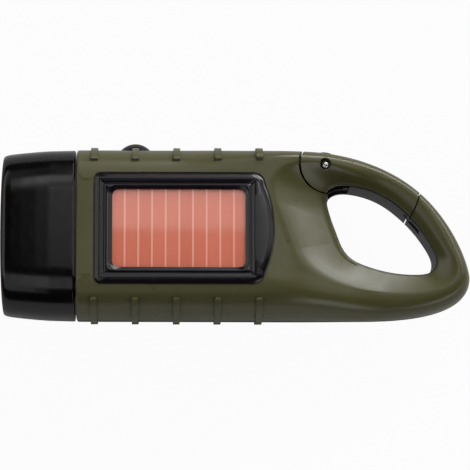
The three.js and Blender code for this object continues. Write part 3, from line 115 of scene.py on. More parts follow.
# Snap gate of the loop
barrel_radius = 0.0069
gate_reach = 0.02725
gate_gap = 0.00035
gate_step = 0.00085
barrel_ease = 0.00015
barrel_ease_angle = math.radians(135)
barrel_angles = [math.radians(95), math.radians(282)]
tip_angles = [math.radians(-50), math.radians(12)]
gate_pin_radius = 0.00095
gate_pin_sink = 0.0018
gate_pin_recess = 0.0016
gate_pin_angle = 0.05
tongue_radius = 0.0052
tongue_thickness = 0.003
tongue_half_width = 0.004
tongue_drop = 0.0007
nose_reach = 0.002
nose_height = 0.0026
nose_width = 0.0022
nose_share = 0.9
pocket_reach = 0.0043
pocket_share = 3
gate_screw_reach = 0.0156
gate_screw_share = 0.5
gate_screw_rise = 0.0045
gate_screw_sink = 0.0025
spring_room = 0.0027
spring_drop = 0.00415

# Grip ribs on both sides
rib_count = 5
rib_pitch = 0.01135
rib_width = 0.0019
rib_height = 0.00065
first_rib = -0.01495
rib_end = 0.0188
rib_fillet = 0.0003
rib_end_shares = [0.9, 0.95, 1]

# Solar panel and its frame on the front face
window_start = -0.0099
window_end = 0.0266
window_half_width = 0.0108
window_corner = 0.00175
frame_start = -0.0147
frame_nose = 0.0342
frame_half_width = 0.0152
frame_nose_radius = 0.0314
frame_corner = 0.0033
frame_corner_back = 0.0023
frame_tail_corner = 0.0017
frame_height = 0.001
frame_edge = 0.00025
frame_slope = 0.0012
frame_bevel = 0.001
frame_bevel_shares = [0.92, 1.04]
frame_ease = 0.0001
frame_ease_drop = 0.00005
frame_groove = 0.00055
groove_slope = 0.0005
groove_lip = 0.0008
groove_back_margin = 0.0024
groove_side_margin = 0.00165
panel_lap = 0.0012
panel_thickness = 0.0015
ledge = 0.0014
ledge_drop = 0.0012
deck_groove_width = 0.00035
deck_groove_depth = 0.0007
panel_crown = 0.00025
first_stripe = -0.0065
stripe_pitch = 0.003737
stripe_width = 0.00045

# Push button
button_place = -0.0037
button_height = 0.00075
button_radius = 0.0044
button_proud = 0.0022
button_top_angle = 0.01
button_flange = 0.0011
button_travel = 0.0009
flange_margin = 0.0012
stem_radius = 0.0016

# Head with its lens, reflector and lamps
joint_gap = 0.0004
head_crown = 0.0035
spigot_length = 0.0054
spigot_wall = 0.0016
groove_offset = 0.002
groove_depth = 0.0008
grip_rib = 0.0014
grip_lap = 0.0004
lip_thickness = 0.0016
lip_inset = 0.0061
head_wall = 0.0024
mouth_flare = 0.0009
mouth_depth = 0.0007
lens_thickness = 0.0016
reflector_depth = 0.0103
cup_pitch = 0.498 * half_width
cup_mouth = 0.0074
lamp_radius = 0.0025
lamp_length = 0.0086
lamp_rim = 0.00045
lamp_rim_height = 0.001
lamp_tip_angle = 0.02
lamp_screw_offset = 0.0039
lamp_screw_depth = 0.004
head_shares = [
    [0, 0.992, 0.985], [0.02, 1, 1], [0.35, 0.993, 0.992], [0.52, 0.983, 0.98], [0.72, 0.967, 0.96],
    [0.88, 0.951, 0.94], [0.945, 0.938, 0.92], [0.98, 0.92, 0.89], [1, 0.895, 0.85],
]
front_bow_radius = 0.37

# Gear train, as far as the housing leaves room for it
tooth_module = 0.0007
addendum = 0.8
crank_teeth = 48
pinion_teeth = 12
idler_1_teeth = 36
idler_2_teeth = 30
rotor_teeth = 10
idler_1_angle = math.radians(19)
idler_2_angle = math.radians(-100)
rotor_angle = math.radians(20)
crank_gear_thickness = 0.0025
idler_gear_thickness = 0.0018
post_radius = 0.0021
axle_boss_radius = 0.0017
axle_radius = 0.001
rotor_shaft_radius = 0.0008
post_screw_depth = 0.004
post_spot_shares = [[0.421, 0.424], [0.067, 0.826], [0.05, -0.822], [0.343, -0.805]]

# Crank arm and its folding knob
hub_radius = 0.0095
arm_half_width = 0.008
knob_reach = 0.044
arm_end = 0.006
arm_tip = knob_reach + arm_end
knob_half_width = 0.0053
knob_length = 0.022
knob_thickness = 0.0046
knob_pin_radius = 0.0009
finger_gap = 0.0045
arm_boss_radius = 0.005
bushing_wall = 0.0014
cap_radius = 0.0054
cap_thickness = 0.0012
cap_face_shares = [[0.72, 0], [0.69, 1], [0.64, 1], [0.61, 0], [0.01, 0]]
key_radius = 0.0032
key_depth = 0.0034
knob_end_radius = 0.0012
arm_fillet = 0.0007

# Screws
screw_radius = 0.00115
screw_head_radius = 0.002
screw_head_height = 0.0015
screw_slot = 0.0006
boss_radius = 0.0031
screw_rise_share = 0.55
screw_sink = 0.003
shell_spot_shares = [
    [-0.129, 0.763], [-0.129, -0.763], [0.41, 0.784], [0.41, -0.784], [0.697, -0.771], [0.942, -0.402],
]

# Fineness of the meshes, and how far cutters reach past what they cut
ray_spacing = 0.0006
outline_spacing = 0.0002
straight_end = 0.02
round_steps = 14
round_sides = 64
small_sides = 32
plan_sides = 240
frame_sides = 720
arm_sides = 360
cup_sides = 96
search_steps = 1500
sharp_angle = math.radians(32)
tiny = 1e-30
far_up = front_depth + overrun
far_down = -rear_depth - overrun


# Mesh helpers
def solid(points, faces, name="cutter"):
    """A closed mesh with its faces turned outwards, lifted from the parting plane to its place."""
    mesh = bpy.data.meshes.new(name)
    lifted = np.asarray(points, float).reshape(-1, 3) + (0, 0, part_line)
    mesh.from_pydata(lifted.tolist(), [], faces)
    shape = bmesh.new()
    shape.from_mesh(mesh)
    if shape.calc_volume(signed=True) < 0:
        bmesh.ops.reverse_faces(shape, faces=shape.faces[:])
    shape.to_mesh(mesh)
    shape.free()
    made = bpy.data.objects.new(name, mesh)
    bpy.context.collection.objects.link(made)
    return made


def ring_body(columns):
    """Columns of points that close on themselves both ways, as a body with one hole through it."""
    count, across = columns.shape[:2]
    index = np.arange(count * across).reshape(count, across)
    beside = np.roll(index, -1, axis=0)
    quads = np.stack([index, np.roll(index, -1, axis=1), np.roll(beside, -1, axis=1), beside], axis=-1)
    return solid(columns, quads.reshape(-1, 4).tolist())


def loft(rings):
    """Rings of equal length joined in a row, with a flat cap at each end."""
    rings = np.asarray(rings, float)
    rows, count = rings.shape[:2]
    index = np.arange(rows * count).reshape(rows, count)
    after = np.roll(index, -1, axis=1)
    quads = np.stack([index[:-1], after[:-1], after[1:], index[1:]], axis=-1).reshape(-1, 4).tolist()
    return solid(rings, [*quads, index[0][::-1].tolist(), index[-1].tolist()])


def raised(plan, height):
    return np.column_stack([plan, np.full(len(plan), height)])


def columns_of(rows, side=1):
    """Rows of places with their heights, as columns; a side of -1 turns the heights down."""
    return np.stack([raised(plan, side * height) for plan, height in rows], axis=1)


def prism(plan, low, high):
    return loft([raised(plan, low), raised(plan, high)])


def block(x0, x1, y0, y1, z0, z1):
    return prism(np.array([[x0, y0], [x1, y0], [x1, y1], [x0, y1]]), z0, z1)


def plate(x0, x1, half, z0, z1):
    return block(x0, x1, -half, half, z0, z1)


axes = {
    "x": np.array([[0, 1, 0], [0, 0, 1], [1, 0, 0]]),
    "y": np.array([[0, 0, 1], [1, 0, 0], [0, 1, 0]]),
    "z": np.eye(3),
}


def directions(count):
    """Unit steps in the plane, all the way round."""
    angles = np.linspace(0, 2 * math.pi, count, endpoint=False)
    return np.column_stack([np.cos(angles), np.sin(angles)])


def turned(profile, centre=(0, 0, 0), axis="z", sides=round_sides):
    """Pairs of radius and place along an axis, turned about it, with flat ends."""
    circle = directions(sides)
    return loft([raised(circle * radius, along) @ axes[axis] + centre for radius, along in profile])


def rod(radius, low, high, centre=(0, 0), axis="z", sides=small_sides):
    """A cylinder along an axis; its centre is the two coordinates across that axis."""
    spot = np.insert(np.asarray(centre, float), "xyz".index(axis), 0)
    return turned([(radius, low), (radius, high)], spot, axis, sides)


def dome(radius, centre, rise, start, end, steps):
    """Pairs of radius and place from near the top of a dome down to its rim."""
    turns = np.linspace(start, end, steps)
    return [(radius * math.sin(turn), centre + rise * math.cos(turn)) for turn in turns]


def change(target, others, operation):
    for other in others:
        step = target.modifiers.new("step", "BOOLEAN")
        step.operation = operation
        step.solver = "MANIFOLD"
        step.object = other
    graph = bpy.context.evaluated_depsgraph_get()
    made = bpy.data.meshes.new_from_object(target.evaluated_get(graph))
    target.modifiers.clear()
    target.data = made
    for other in others:
        bpy.data.objects.remove(other)
    return target


def cut(target, *cutters):
    return change(target, cutters, "DIFFERENCE")


def join(target, *others):
    return change(target, others, "UNION")


def common(target, *others):
    return change(target, others, "INTERSECT")


# Plans
def arc(centre, radius, start, end, steps):
    angles = np.linspace(start, end, steps + 1)
    return np.column_stack([centre[0] + radius * np.cos(angles), centre[1] + radius * np.sin(angles)])


def rounding(radius, steps):
    """Inset and rise of the points round a quarter of a rounded edge."""
    turns = np.linspace(0, math.pi / 2, steps)
    return [(radius * (1 - math.sin(turn)), radius * (1 - math.cos(turn))) for turn in turns]


def around(centre, distance, angle):
    return np.array([centre[0] + distance * math.cos(angle), centre[1] + distance * math.sin(angle)])


def rounded_rectangle(x0, x1, half, radius, steps=8):
    quarter = math.pi / 2
    side = half - radius
    spots = [(x1 - radius, side), (x0 + radius, side), (x0 + radius, -side), (x1 - radius, -side)]
    corners = [arc(spot, radius, quarter * i, quarter * (i + 1), steps) for i, spot in enumerate(spots)]
    return np.concatenate(corners)


def hull_of(points):
    """The convex outline round some points."""
    points = np.array(points)
    return points[convex_hull_2d(points.tolist())]


def cross(a, b):
    return a[..., 0] * b[..., 1] - a[..., 1] * b[..., 0]


def distances(a, b):
    return np.linalg.norm(a - b, axis=1)


def smoothstep(value, low, high):
    t = np.clip((value - low) / (high - low), 0, 1)
    return t * t * (3 - 2 * t)


def smootherstep(value, low, high):
    t = np.clip((value - low) / (high - low), 0, 1)
    return t**3 * (t * (6 * t - 15) + 10)


def place(shares):
    return np.asarray(shares, float) * (crank_to_tip, half_width)


def resampled(points, spacing):
    lengths = np.concatenate([[0], np.cumsum(np.linalg.norm(np.diff(points, axis=0), axis=1))])
    spots = np.linspace(0, lengths[-1], round(lengths[-1] / spacing) + 1)
    return np.column_stack([np.interp(spots, lengths, points[:, i]) for i in range(2)])


def bezier(shares, steps=400):
    a, b, c, d = place(shares)
    t = np.linspace(0, 1, steps)[:, None]
    return (1 - t) ** 3 * a + 3 * t * (1 - t) ** 2 * b + 3 * t * t * (1 - t) * c + t**3 * d


def closed_curve(shares, steps=40, smoothing=60):
    """A closed centripetal spline through the places, with its joins eased a little."""
    knots = place(shares)
    points = []
    for i in range(len(knots)):
        a, b, c, d = (knots[(i + k - 1) % len(knots)] for k in range(4))
        ab, bc, cd = (math.sqrt(np.linalg.norm(q - p)) for p, q in ((a, b), (b, c), (c, d)))
        start = bc * ((b - a) / ab - (c - a) / (ab + bc) + (c - b) / bc)
        end = bc * ((c - b) / bc - (d - b) / (bc + cd) + (d - c) / cd)
        t = np.linspace(0, 1, steps, endpoint=False)[:, None]
        cubic = 2 * b - 2 * c + start + end
        square = 3 * c - 3 * b - 2 * start - end
        points.append(cubic * t**3 + square * t**2 + start * t + b)
    curve = resampled(np.concatenate([*points, points[0][:1]]), outline_spacing)[:-1]
    for _ in range(smoothing):
        curve = (np.roll(curve, 1, axis=0) + 2 * curve + np.roll(curve, -1, axis=0)) / 4
    return curve


tail_end = joint_place - edge_reach - head_length
outline = resampled(
    np.concatenate([
        [[tail_end, -half_width]],
        bezier(lower_outline_shares),
        bezier(upper_outline_shares)[::-1],
        [place(taper_start_shares), [tail_end, half_width], [tail_end, -half_width]],
    ]),
    outline_spacing,
)[:-1]
crease_curve = closed_curve(crease_shares)
hole_curve = closed_curve(hole_shares)
loop_centre = place(loop_centre_shares)
pin = place(pin_shares)


def hits(curve, centre, out):
    """For each ray: the piece of a closed curve it meets, how far out, and the share along that piece."""
    step = np.roll(curve, -1, axis=0) - curve
    offset = curve - centre
    slant = cross(out[:, None], step[None])
    slant[slant == 0] = tiny
    along = cross(offset, step)[None] / slant
    share = cross(offset[None], out[:, None]) / slant
    piece = ((along > 0) & (share >= 0) & (share < 1)).argmax(axis=1)
    ray = np.arange(len(out))
    return piece, along[ray, piece][:, None], share[ray, piece][:, None]


def meet(curve, centre, out):
    """Where rays from a centre cross a closed curve."""
    return centre + out * hits(curve, centre, out)[1]


def unit(steps):
    return steps / np.linalg.norm(steps, axis=1)[:, None]


class Rays:
    """Where rays from the loop's centre meet the outline, the crease and the hole."""

    def __init__(self, angles):
        self.out = np.column_stack([np.cos(angles), np.sin(angles)])
        piece, distance, share = hits(outline, loop_centre, self.out)
        self.edge = loop_centre + self.out * distance
        tangent = unit(np.roll(outline, -1, axis=0) - np.roll(outline, 1, axis=0))
        along = tangent[piece] * (1 - share) + tangent[(piece + 1) % len(outline)] * share
        inward = unit(np.column_stack([-along[:, 1], along[:, 0]]))
        facing = (inward * self.out).sum(axis=1)[:, None]
        self.inward = np.where(facing > 0, -inward, inward)
        self.crease = meet(crease_curve, loop_centre, self.out)
        self.hole = meet(hole_curve, loop_centre, self.out)
        self.slant = -(self.inward * self.out).sum(axis=1)
        self.band = distances(self.edge, self.crease) * self.slant
        self.crown = smoothstep(np.cos(angles - crown_angle), 0, crown_share)


def outline_angles(spacing):
    spots = resampled(outline, spacing)
    spots = spots[spots[:, 0] > joint_place - edge_reach]
    spots = spots[(spots[:, 0] > straight_end) | (np.arange(len(spots)) % 4 == 0)]
    offset = spots - loop_centre
    return np.sort(np.arctan2(offset[:, 1], offset[:, 0]))


fine_rays = Rays(outline_angles(ray_spacing))
coarse_rays = Rays(outline_angles(4 * ray_spacing))
plan_rays = Rays(np.linspace(0, 2 * math.pi, plan_sides, endpoint=False))


half_depths = {
    1: (front_depth, loop_front_depth, hole_edge_depth),
    -1: (rear_depth, loop_rear_depth, rear_hole_depth),
}
band_shares = [0.2, 0.4, 0.6, 0.76, 0.88, 0.95]
dish_shares = [0.03, 0.07, 0.13, 0.22, 0.33, 0.44, 0.55, 0.66, 0.77, 0.86, 0.93]
crease_easing = 3


def depth_at(x, side):
    """How far the front half (1) or the rear half (-1) reaches from the parting plane."""
    body_depth, loop_depth, _ = half_depths[side]
    start, end = (share * crank_to_tip for share in slope_shares)
    return body_depth + (loop_depth - body_depth) * smootherstep(x, start, end)


def dish_depth(rays, share, side):
    power = hollow_power + (crown_power - hollow_power) * rays.crown
    edge_depth = half_depths[side][2]
    return edge_depth + (depth_at(rays.crease[:, 0], side) - edge_depth) * (1 - share**power)


def round_off(share):
    return (1 - (1 - np.asarray(share, float)) ** edge_power) ** (1 / edge_power)


def round_profile(steps):
    """Inset shares of the rounded edge, closer together where it is steep."""
    turn = np.linspace(0, math.pi / 2, steps + 1)
    return 1 - np.cos(turn) ** (2 / edge_power)


def outer_columns(rays, side):
    """One half of the housing's outer form as columns from the outline to the hole."""
    reach = np.minimum(edge_reach, band_share * rays.band)[:, None]
    rows = [(rays.edge + rays.inward * seam_chamfer, 0), (rays.edge, seam_chamfer)]
    for share in round_profile(round_steps)[1:]:
        spot = rays.edge + rays.inward * share * reach
        rows.append((spot, round_off(share) * depth_at(spot[:, 0], side)))
    round_end = spot
    for share in band_shares:
        spot = round_end + (rays.crease - round_end) * share
        rows.append((spot, depth_at(spot[:, 0], side)))
    crease_row = len(rows)
    rows.append((rays.crease, depth_at(rays.crease[:, 0], side)))
    for share in dish_shares:
        rows.append((rays.crease + (rays.hole - rays.crease) * share, dish_depth(rays, share, side)))
    for inset, rise in rounding(hole_fillet, 4):
        rows.append((rays.hole + rays.out * inset, half_depths[side][2] - rise))
    columns = columns_of([*rows, (rays.hole, 0)], side)
    ease_crease(columns, crease_row)
    return columns


def ease_crease(columns, row):
    low, high = row - 3, row + 5
    for _ in range(crease_easing):
        before, after = columns[:, low - 1 : high - 1], columns[:, low + 1 : high + 1]
        columns[:, low:high] = (before + 2 * columns[:, low:high] + after) / 4


def outer_half(side):
    """That form, cut off at the joint with the head, where its edge is eased."""
    return common(ring_body(outer_columns(fine_rays, side)), joint_shape())


def joint_shape():
    """Everything behind the joint: it meets the housing's surface at two shallow angles in turn."""
    stops = [(joint_place + along * joint_fillet, inset * joint_fillet) for along, inset in joint_shares]
    return inset_loft(*stops, (crank_to_tip + overrun, stops[-1][1]))


def upright(x, ring):
    """A ring of places across the flashlight, stood up at x."""
    return np.column_stack([np.full(len(ring), x), ring])


def section(x, width, front, rear, reach):
    """Cross-section of the housing or head: two rounded corners above and two below."""
    shares = round_profile(round_steps)
    corner = np.column_stack([width - shares * reach, round_off(shares)])
    back = corner[::-1] * (-1, 1)
    upper = np.concatenate([corner, back]) * (1, front)
    lower = np.concatenate([corner[1:] * (-1, 1), corner[::-1][:-1]]) * (1, -rear)
    return upright(x, np.concatenate([upper, lower]))


def inset_section(x, inset):
    return section(x, half_width - inset, front_depth - inset, rear_depth - inset, edge_reach - inset / 2)


def inset_loft(*stops):
    """A body through sections of the housing, each given by its place and its inset."""
    return loft([inset_section(x, inset) for x, inset in stops])


def inset_tube(x0, x1, outer_inset, inner_inset):
    outer = inset_loft((x0, outer_inset), (x1, outer_inset))
    return cut(outer, inset_loft((x0 - overrun, inner_inset), (x1 + overrun, inner_inset)))


# The hollow inside each half
hollow_shares = [0, 0.05, 0.22, 0.55, 1]


def hollow(side):
    rays = coarse_rays
    edge = rays.edge + rays.inward * wall
    hole = rays.hole + rays.out * (liner_wall + gap + wall)
    share = distances(rays.crease, rays.hole) / distances(rays.edge, rays.hole)
    crease = hole + (edge - hole) * share[:, None]
    reach = np.minimum(edge_reach - wall, band_share * distances(crease, edge) * rays.slant)
    rows = [(edge, -overrun)]
    for part in hollow_shares:
        spot = edge + rays.inward * (part * reach)[:, None]
        rows.append((spot, round_off(part) * (depth_at(spot[:, 0], side) - wall)))
    rows.append((crease, depth_at(rays.crease[:, 0], side) - wall))
    back = distances(rays.hole, hole) / distances(rays.hole, rays.crease)
    rows.append((hole, dish_depth(rays, 1 - np.minimum(1, back), side) - wall))
    return ring_body(columns_of([*rows, (hole, -overrun)], side))


# The lip of the rear half that lines the hole
def liner():
    ease = gap / 2
    stops = [
        (liner_wall, liner_height),
        (ease - liner_inset, liner_height),
        (-liner_inset, liner_height - ease),
        (-hole_draft, -rear_hole_depth + overrun),
        (-hole_draft + gap, -rear_hole_depth),
        (liner_wall, -rear_hole_depth),
    ]
    return ring_body(columns_of([(fine_rays.hole + fine_rays.out * offset, z) for offset, z in stops]))


def liner_seat():
    return prism(plan_rays.hole + plan_rays.out * (liner_wall + gap), -overrun, liner_height)


# Gate
def gate_prism(barrel, reach, barrel_centre=pin, bottom=-far_up):
    barrel_arc = arc(barrel_centre, barrel, *barrel_angles, round_sides)
    tip_arc = arc(pin, reach, *tip_angles, 40)
    return prism(np.concatenate([barrel_arc, tip_arc]), bottom, far_up)


# Below the parting plane the tip ends a step earlier, which hides what is behind the gap
rear_reach = gate_reach - gate_step


def gate_zone():
    rear = gate_prism(barrel_radius, rear_reach)
    return join(rear, gate_prism(barrel_radius, gate_reach, bottom=gap / 2))


def gate_room():
    centre = around(pin, barrel_ease, barrel_ease_angle)
    radius = barrel_radius + gate_gap + barrel_ease
    rear = gate_prism(radius, rear_reach + gate_gap, centre)
    return join(rear, gate_prism(radius, gate_reach + gate_gap, centre, -gap / 2))


tongue_top = tongue_thickness / 2 - tongue_drop
tongue_bottom = tongue_top - tongue_thickness
fork_top = tongue_top + gap
fork_bottom = tongue_bottom - gap


def tongue_bar(margin, low, high):
    """The strip that carries the tongue, from the pin into the housing."""
    root = barrel_radius + gate_gap + wall + gap + margin
    side = tongue_half_width + margin
    return block(pin[0] - root, pin[0], pin[1] - side, pin[1] + side, low, high)


def tongue():
    disc = rod(tongue_radius, tongue_bottom, tongue_top, pin, sides=round_sides)
    hole = rod(gate_pin_radius + gap, tongue_bottom - overrun, tongue_top + overrun, pin)
    return cut(join(disc, tongue_bar(0, tongue_bottom, tongue_top)), hole)


def barrel_slot():
    return rod(barrel_radius + gate_gap, fork_bottom, fork_top, pin, sides=round_sides)


def ring_spot(reach, share):
    """A spot in the ring of the loop, at a distance from the pin and a share of the way to the hole."""
    rays = Rays(np.linspace(0, math.pi / 2, search_steps))
    spots = rays.edge + (rays.hole - rays.edge) * share
    return spots[np.abs(distances(spots, pin) - reach).argmin()]


nose_offset = ring_spot(gate_reach, nose_share) - pin
nose_angle = math.atan2(nose_offset[1], nose_offset[0])
gate_middle = ring_spot(gate_screw_reach, gate_screw_share)


def nose_plan(reach, start, end, steps):
    """A stretch of the ring round the pin, from inside the gate's tip to past it."""
    outer = arc(pin, gate_reach + reach, start, end, steps)
    return np.concatenate([outer, arc(pin, gate_reach - wall, end, start, steps)])


def nose(margin):
    """The nose on the gate's tip, or with a margin the room for it."""
    half = (nose_width / 2 + margin) / gate_reach
    plan = nose_plan(nose_reach + margin, nose_angle - half, nose_angle + half, 4)
    low = -overrun if margin else -nose_height / 2
    return prism(plan, low, nose_height / 2 + margin)


def nose_pocket():
    half = (nose_width / 2 + gap) / gate_reach
    plan = nose_plan(pocket_reach, nose_angle - pocket_share * half, nose_angle + half, 6)
    return prism(plan, -nose_height / 2 - gap, nose_height / 2 + gap)


def gate_pocket(side):
    reach = gate_reach if side > 0 else rear_reach
    zone = gate_prism(barrel_radius + wall, reach - wall)
    cut(zone, rod(barrel_radius + wall, -front_depth, front_depth, pin))
    pocket = common(hollow(side), zone)
    return cut(pocket, rod(boss_radius, -front_depth, front_depth, gate_middle))


pin_top = depth_at(pin[0], 1)
pin_bottom = wall - depth_at(pin[0], -1)


def bore(low, high, spot=(0, 0), axis="z"):
    """The hole that a screw's shank goes into."""
    return rod(screw_radius + gap, low, high, spot, axis)


def screw_hole(spot, head_bottom, tip):
    head_room = rod(screw_head_radius + gap, far_down, head_bottom + screw_head_height, spot)
    return [head_room, bore(-rear_depth, tip, spot)]


def gate_front():
    return cut(
        common(outer_half(1), gate_zone()),
        liner_seat(),
        barrel_slot(),
        rod(gate_pin_radius + gap, -overrun, far_up, pin),
        rod(gate_pin_recess, pin_top - gate_pin_sink, far_up, pin, sides=round_sides),
        gate_pocket(1),
        bore(-overrun, gate_screw_rise + gap, gate_middle),
        nose(gap),
    )


gate_screw_head = gate_screw_sink - depth_at(gate_middle[0], -1)


def gate_rear():
    foot = barrel_foot - rear_hole_depth
    lining = cut(liner(), rod(barrel_radius + wall, foot, front_depth, pin, sides=round_sides))
    body = common(join(outer_half(-1), lining), gate_zone())
    return cut(
        join(body, nose(0)),
        barrel_slot(),
        rod(gate_pin_radius + gap, pin_bottom - gap, overrun, pin),
        rod(spring_room, fork_bottom - spring_drop - gap, overrun, pin),
        gate_pocket(-1),
        *screw_hole(gate_middle, gate_screw_head, overrun),
    )


# Grip ribs: the rounded side of the shell grown outwards, with eased edges
def rib(x, side, half):
    spot = np.array([x, side * half_width]) - loop_centre
    ray = Rays(np.array([math.atan2(spot[1], spot[0])]))
    outside = abs(ray.edge[0][1])
    reach = min(edge_reach, band_share * ray.band[0])
    span = outside - rib_end
    shares = round_profile(18) * reach / span
    shares = np.concatenate([shares[shares < rib_end_shares[0]], rib_end_shares])

    def curve(offset, end_drop=0):
        inset = shares * span
        rise = round_off(inset / reach) * (half_depths[half][0] + offset)
        drop = end_drop * smoothstep(shares, rib_end_shares[0], 1)
        return np.column_stack([side * (outside + offset - inset), half * (rise - drop)])

    rings = []
    for turn in np.linspace(0, math.pi, 9):
        lean = rib_width / 2 - rib_fillet * (1 - math.sin(turn))
        along = lean if turn > math.pi / 2 else -lean
        offset = rib_height - rib_fillet * (1 - math.sin(turn))
        ring = np.concatenate([curve(offset, rib_fillet / 2), curve(-wall / 2)[::-1]])
        rings.append(upright(x + along, ring))
    return loft(rings)


button_centre = (button_place, button_height)


def ribs(half):
    made = []
    for i in range(rib_count):
        for side in (-1, 1):
            room = rod(button_radius + flange_margin, 0, half_width + 2 * overrun, button_centre, "y")
            made.append(cut(rib(first_rib + i * rib_pitch, side, half), room))
    return made


# Gear centres and levels
def gear_spots():
    crank = np.zeros(2)
    first = around(crank, tooth_module * (crank_teeth + pinion_teeth) / 2, idler_1_angle)
    second = around(first, tooth_module * (idler_1_teeth + pinion_teeth) / 2, idler_2_angle)
    rotor = around(second, tooth_module * (idler_2_teeth + rotor_teeth) / 2, rotor_angle)
    return crank, first, second, rotor


crank_axis, idler_1_axis, idler_2_axis, rotor_axis = gear_spots()
deck_inside = wall - rear_depth
crank_gear_bottom = deck_inside + running_gap
crank_gear_top = crank_gear_bottom + crank_gear_thickness
idler_1_bottom = crank_gear_top + running_gap
idler_2_pinion_bottom = crank_gear_top + gap
idler_2_bottom = idler_1_bottom + idler_gear_thickness + running_gap
plate_bottom = idler_2_bottom + idler_gear_thickness + gap + running_gap
rotor_seat = idler_2_bottom - running_gap - wall

inner_side = half_width - wall
head_front = joint_place - head_length
head_back = joint_place - joint_gap
spigot_end = head_back + spigot_length
spigot_inset = wall + gap
bore_inset = spigot_inset + spigot_wall
inner_inset = bore_inset + gap
groove_start = head_back + groove_offset
groove_end = groove_start + grip_rib + 2 * gap
lens_front = head_front + lip_thickness + gap
lens_back = lens_front + lens_thickness
reflector_front = lens_back + gap
reflector_back = reflector_front + reflector_depth
lamp_rim_front = reflector_back + gap
lamp_back = lamp_rim_front + lamp_rim_height
lamp_places = [-cup_pitch, 0, cup_pitch]


def gear_room(teeth, low, centre):
    tip = tooth_module * (teeth / 2 + addendum)
    return rod(tip + running_gap, low, 0, centre)


def body_hollow(side, *features):
    half = join(
        hollow(side),
        gear_room(crank_teeth, deck_inside, crank_axis),
        gear_room(idler_1_teeth, idler_1_bottom - running_gap, idler_1_axis),
        gear_room(idler_2_teeth, idler_2_bottom - running_gap, idler_2_axis),
        flange_room(),
        inset_loft((head_back, wall), (spigot_end + gap, wall)),
    )
    standing = [rod(boss_radius, far_down, far_up, spot) for spot in shell_spots]
    grip = inset_tube(groove_start + gap, groove_end - gap, 0, spigot_inset + grip_lap)
    cut(grip, gear_room(crank_teeth, deck_inside, crank_axis))
    gate_wall = gate_prism(barrel_radius + gate_gap + wall, gate_reach + gate_gap + wall)
    return cut(half, gate_wall, grip, *standing, *features)


shell_spots = place(shell_spot_shares)
post_spots = place(post_spot_shares)


def shell_screw_head(spot):
    return screw_sink - depth_at(spot[0], -1)


def shell_screw_tip(spot):
    return screw_rise_share * depth_at(spot[0], 1)


def flange_room():
    pressed_foot = inner_side - button_flange - button_travel - 2 * gap
    return rod(button_radius + flange_margin + gap, pressed_foot, inner_side, button_centre, "y", round_sides)


def button_hole():
    low = inner_side - overrun
    hole = rod(button_radius + gap, low, half_width + overrun, button_centre, "y", round_sides)
    return join(hole, flange_room())


def deck_groove():
    """A narrow groove in the deck, all round the frame."""
    low = front_depth - deck_groove_depth
    outer = prism(frame_plan(-deck_groove_width), low, far_up)
    return cut(outer, prism(frame_plan(deck_groove_width), low - overrun, far_up + overrun))


def window_plate(margin, low, high):
    return plate(window_start - margin, window_end + margin, window_half_width + margin, low, high)


def front_shell():
    panel_bottom = front_depth - gap - panel_thickness
    ledge_room = window_plate(panel_lap + ledge, panel_bottom - gap - ledge_drop, front_depth)
    shell = cut(outer_half(1), body_hollow(1, ledge_room))
    join(shell, *ribs(1))
    opening = panel_lap - ledge
    pilots = [bore(-overrun, shell_screw_tip(spot) + gap, spot) for spot in shell_spots]
    return cut(
        shell,
        deck_groove(),
        gate_room(),
        liner_seat(),
        button_hole(),
        nose_pocket(),
        plate(window_start + opening, window_end - opening, window_half_width - gap, 0, far_up),
        window_plate(panel_lap + gap, panel_bottom - gap, far_up),
        tongue_bar(gap, -overrun, fork_top),
        *pilots,
    )


def rear_shell():
    posts = [rod(post_radius, far_down, plate_bottom, spot) for spot in post_spots]
    posts.append(rod(axle_boss_radius, far_down, idler_2_pinion_bottom - gap, idler_2_axis))
    posts.append(rod(axle_boss_radius, far_down, idler_2_bottom - gap, rotor_axis))
    shell = cut(outer_half(-1), body_hollow(-1, *posts))
    cut(join(shell, liner(), *ribs(-1)), gate_room())
    join(shell, tongue())
    screws = [hole for s in shell_spots for hole in screw_hole(s, shell_screw_head(s), overrun)]
    pilot_bottom = plate_bottom - post_screw_depth - gap
    pilots = [bore(pilot_bottom, plate_bottom + overrun, spot) for spot in post_spots]
    axle_bottom = deck_inside - wall / 2 - gap
    axles = [rod(axle_radius + gap, axle_bottom, 0, spot) for spot in (idler_1_axis, idler_2_axis)]
    bushing = arm_boss_radius + 2 * gap + bushing_wall
    return cut(
        shell,
        button_hole(),
        nose_pocket(),
        rod(bushing, far_down, deck_inside + overrun, sides=round_sides),
        *screws,
        *pilots,
        *axles,
        rod(rotor_shaft_radius + gap, rotor_seat - gap, idler_2_bottom, rotor_axis),
    )


# Head: a tapering cap whose spigot goes into the shells
def eased(values, rounds):
    values = np.array(values, float)
    for _ in range(rounds):
        values[1:-1] = (values[:-2] + 2 * values[1:-1] + values[2:]) / 4
    return values


def head_sections():
    """Share of the head's length, and of the housing's width and depth there, a little eased."""
    along, wide, deep = np.array(head_shares).T
    shares = np.linspace(along[1], 1, 90)
    wide = np.concatenate([wide[:1], eased(np.interp(shares, along, wide), 5)])
    deep = np.concatenate([deep[:1], eased(np.interp(shares, along, deep), 5)])
    return zip(np.concatenate([along[:1], shares]), wide, deep)


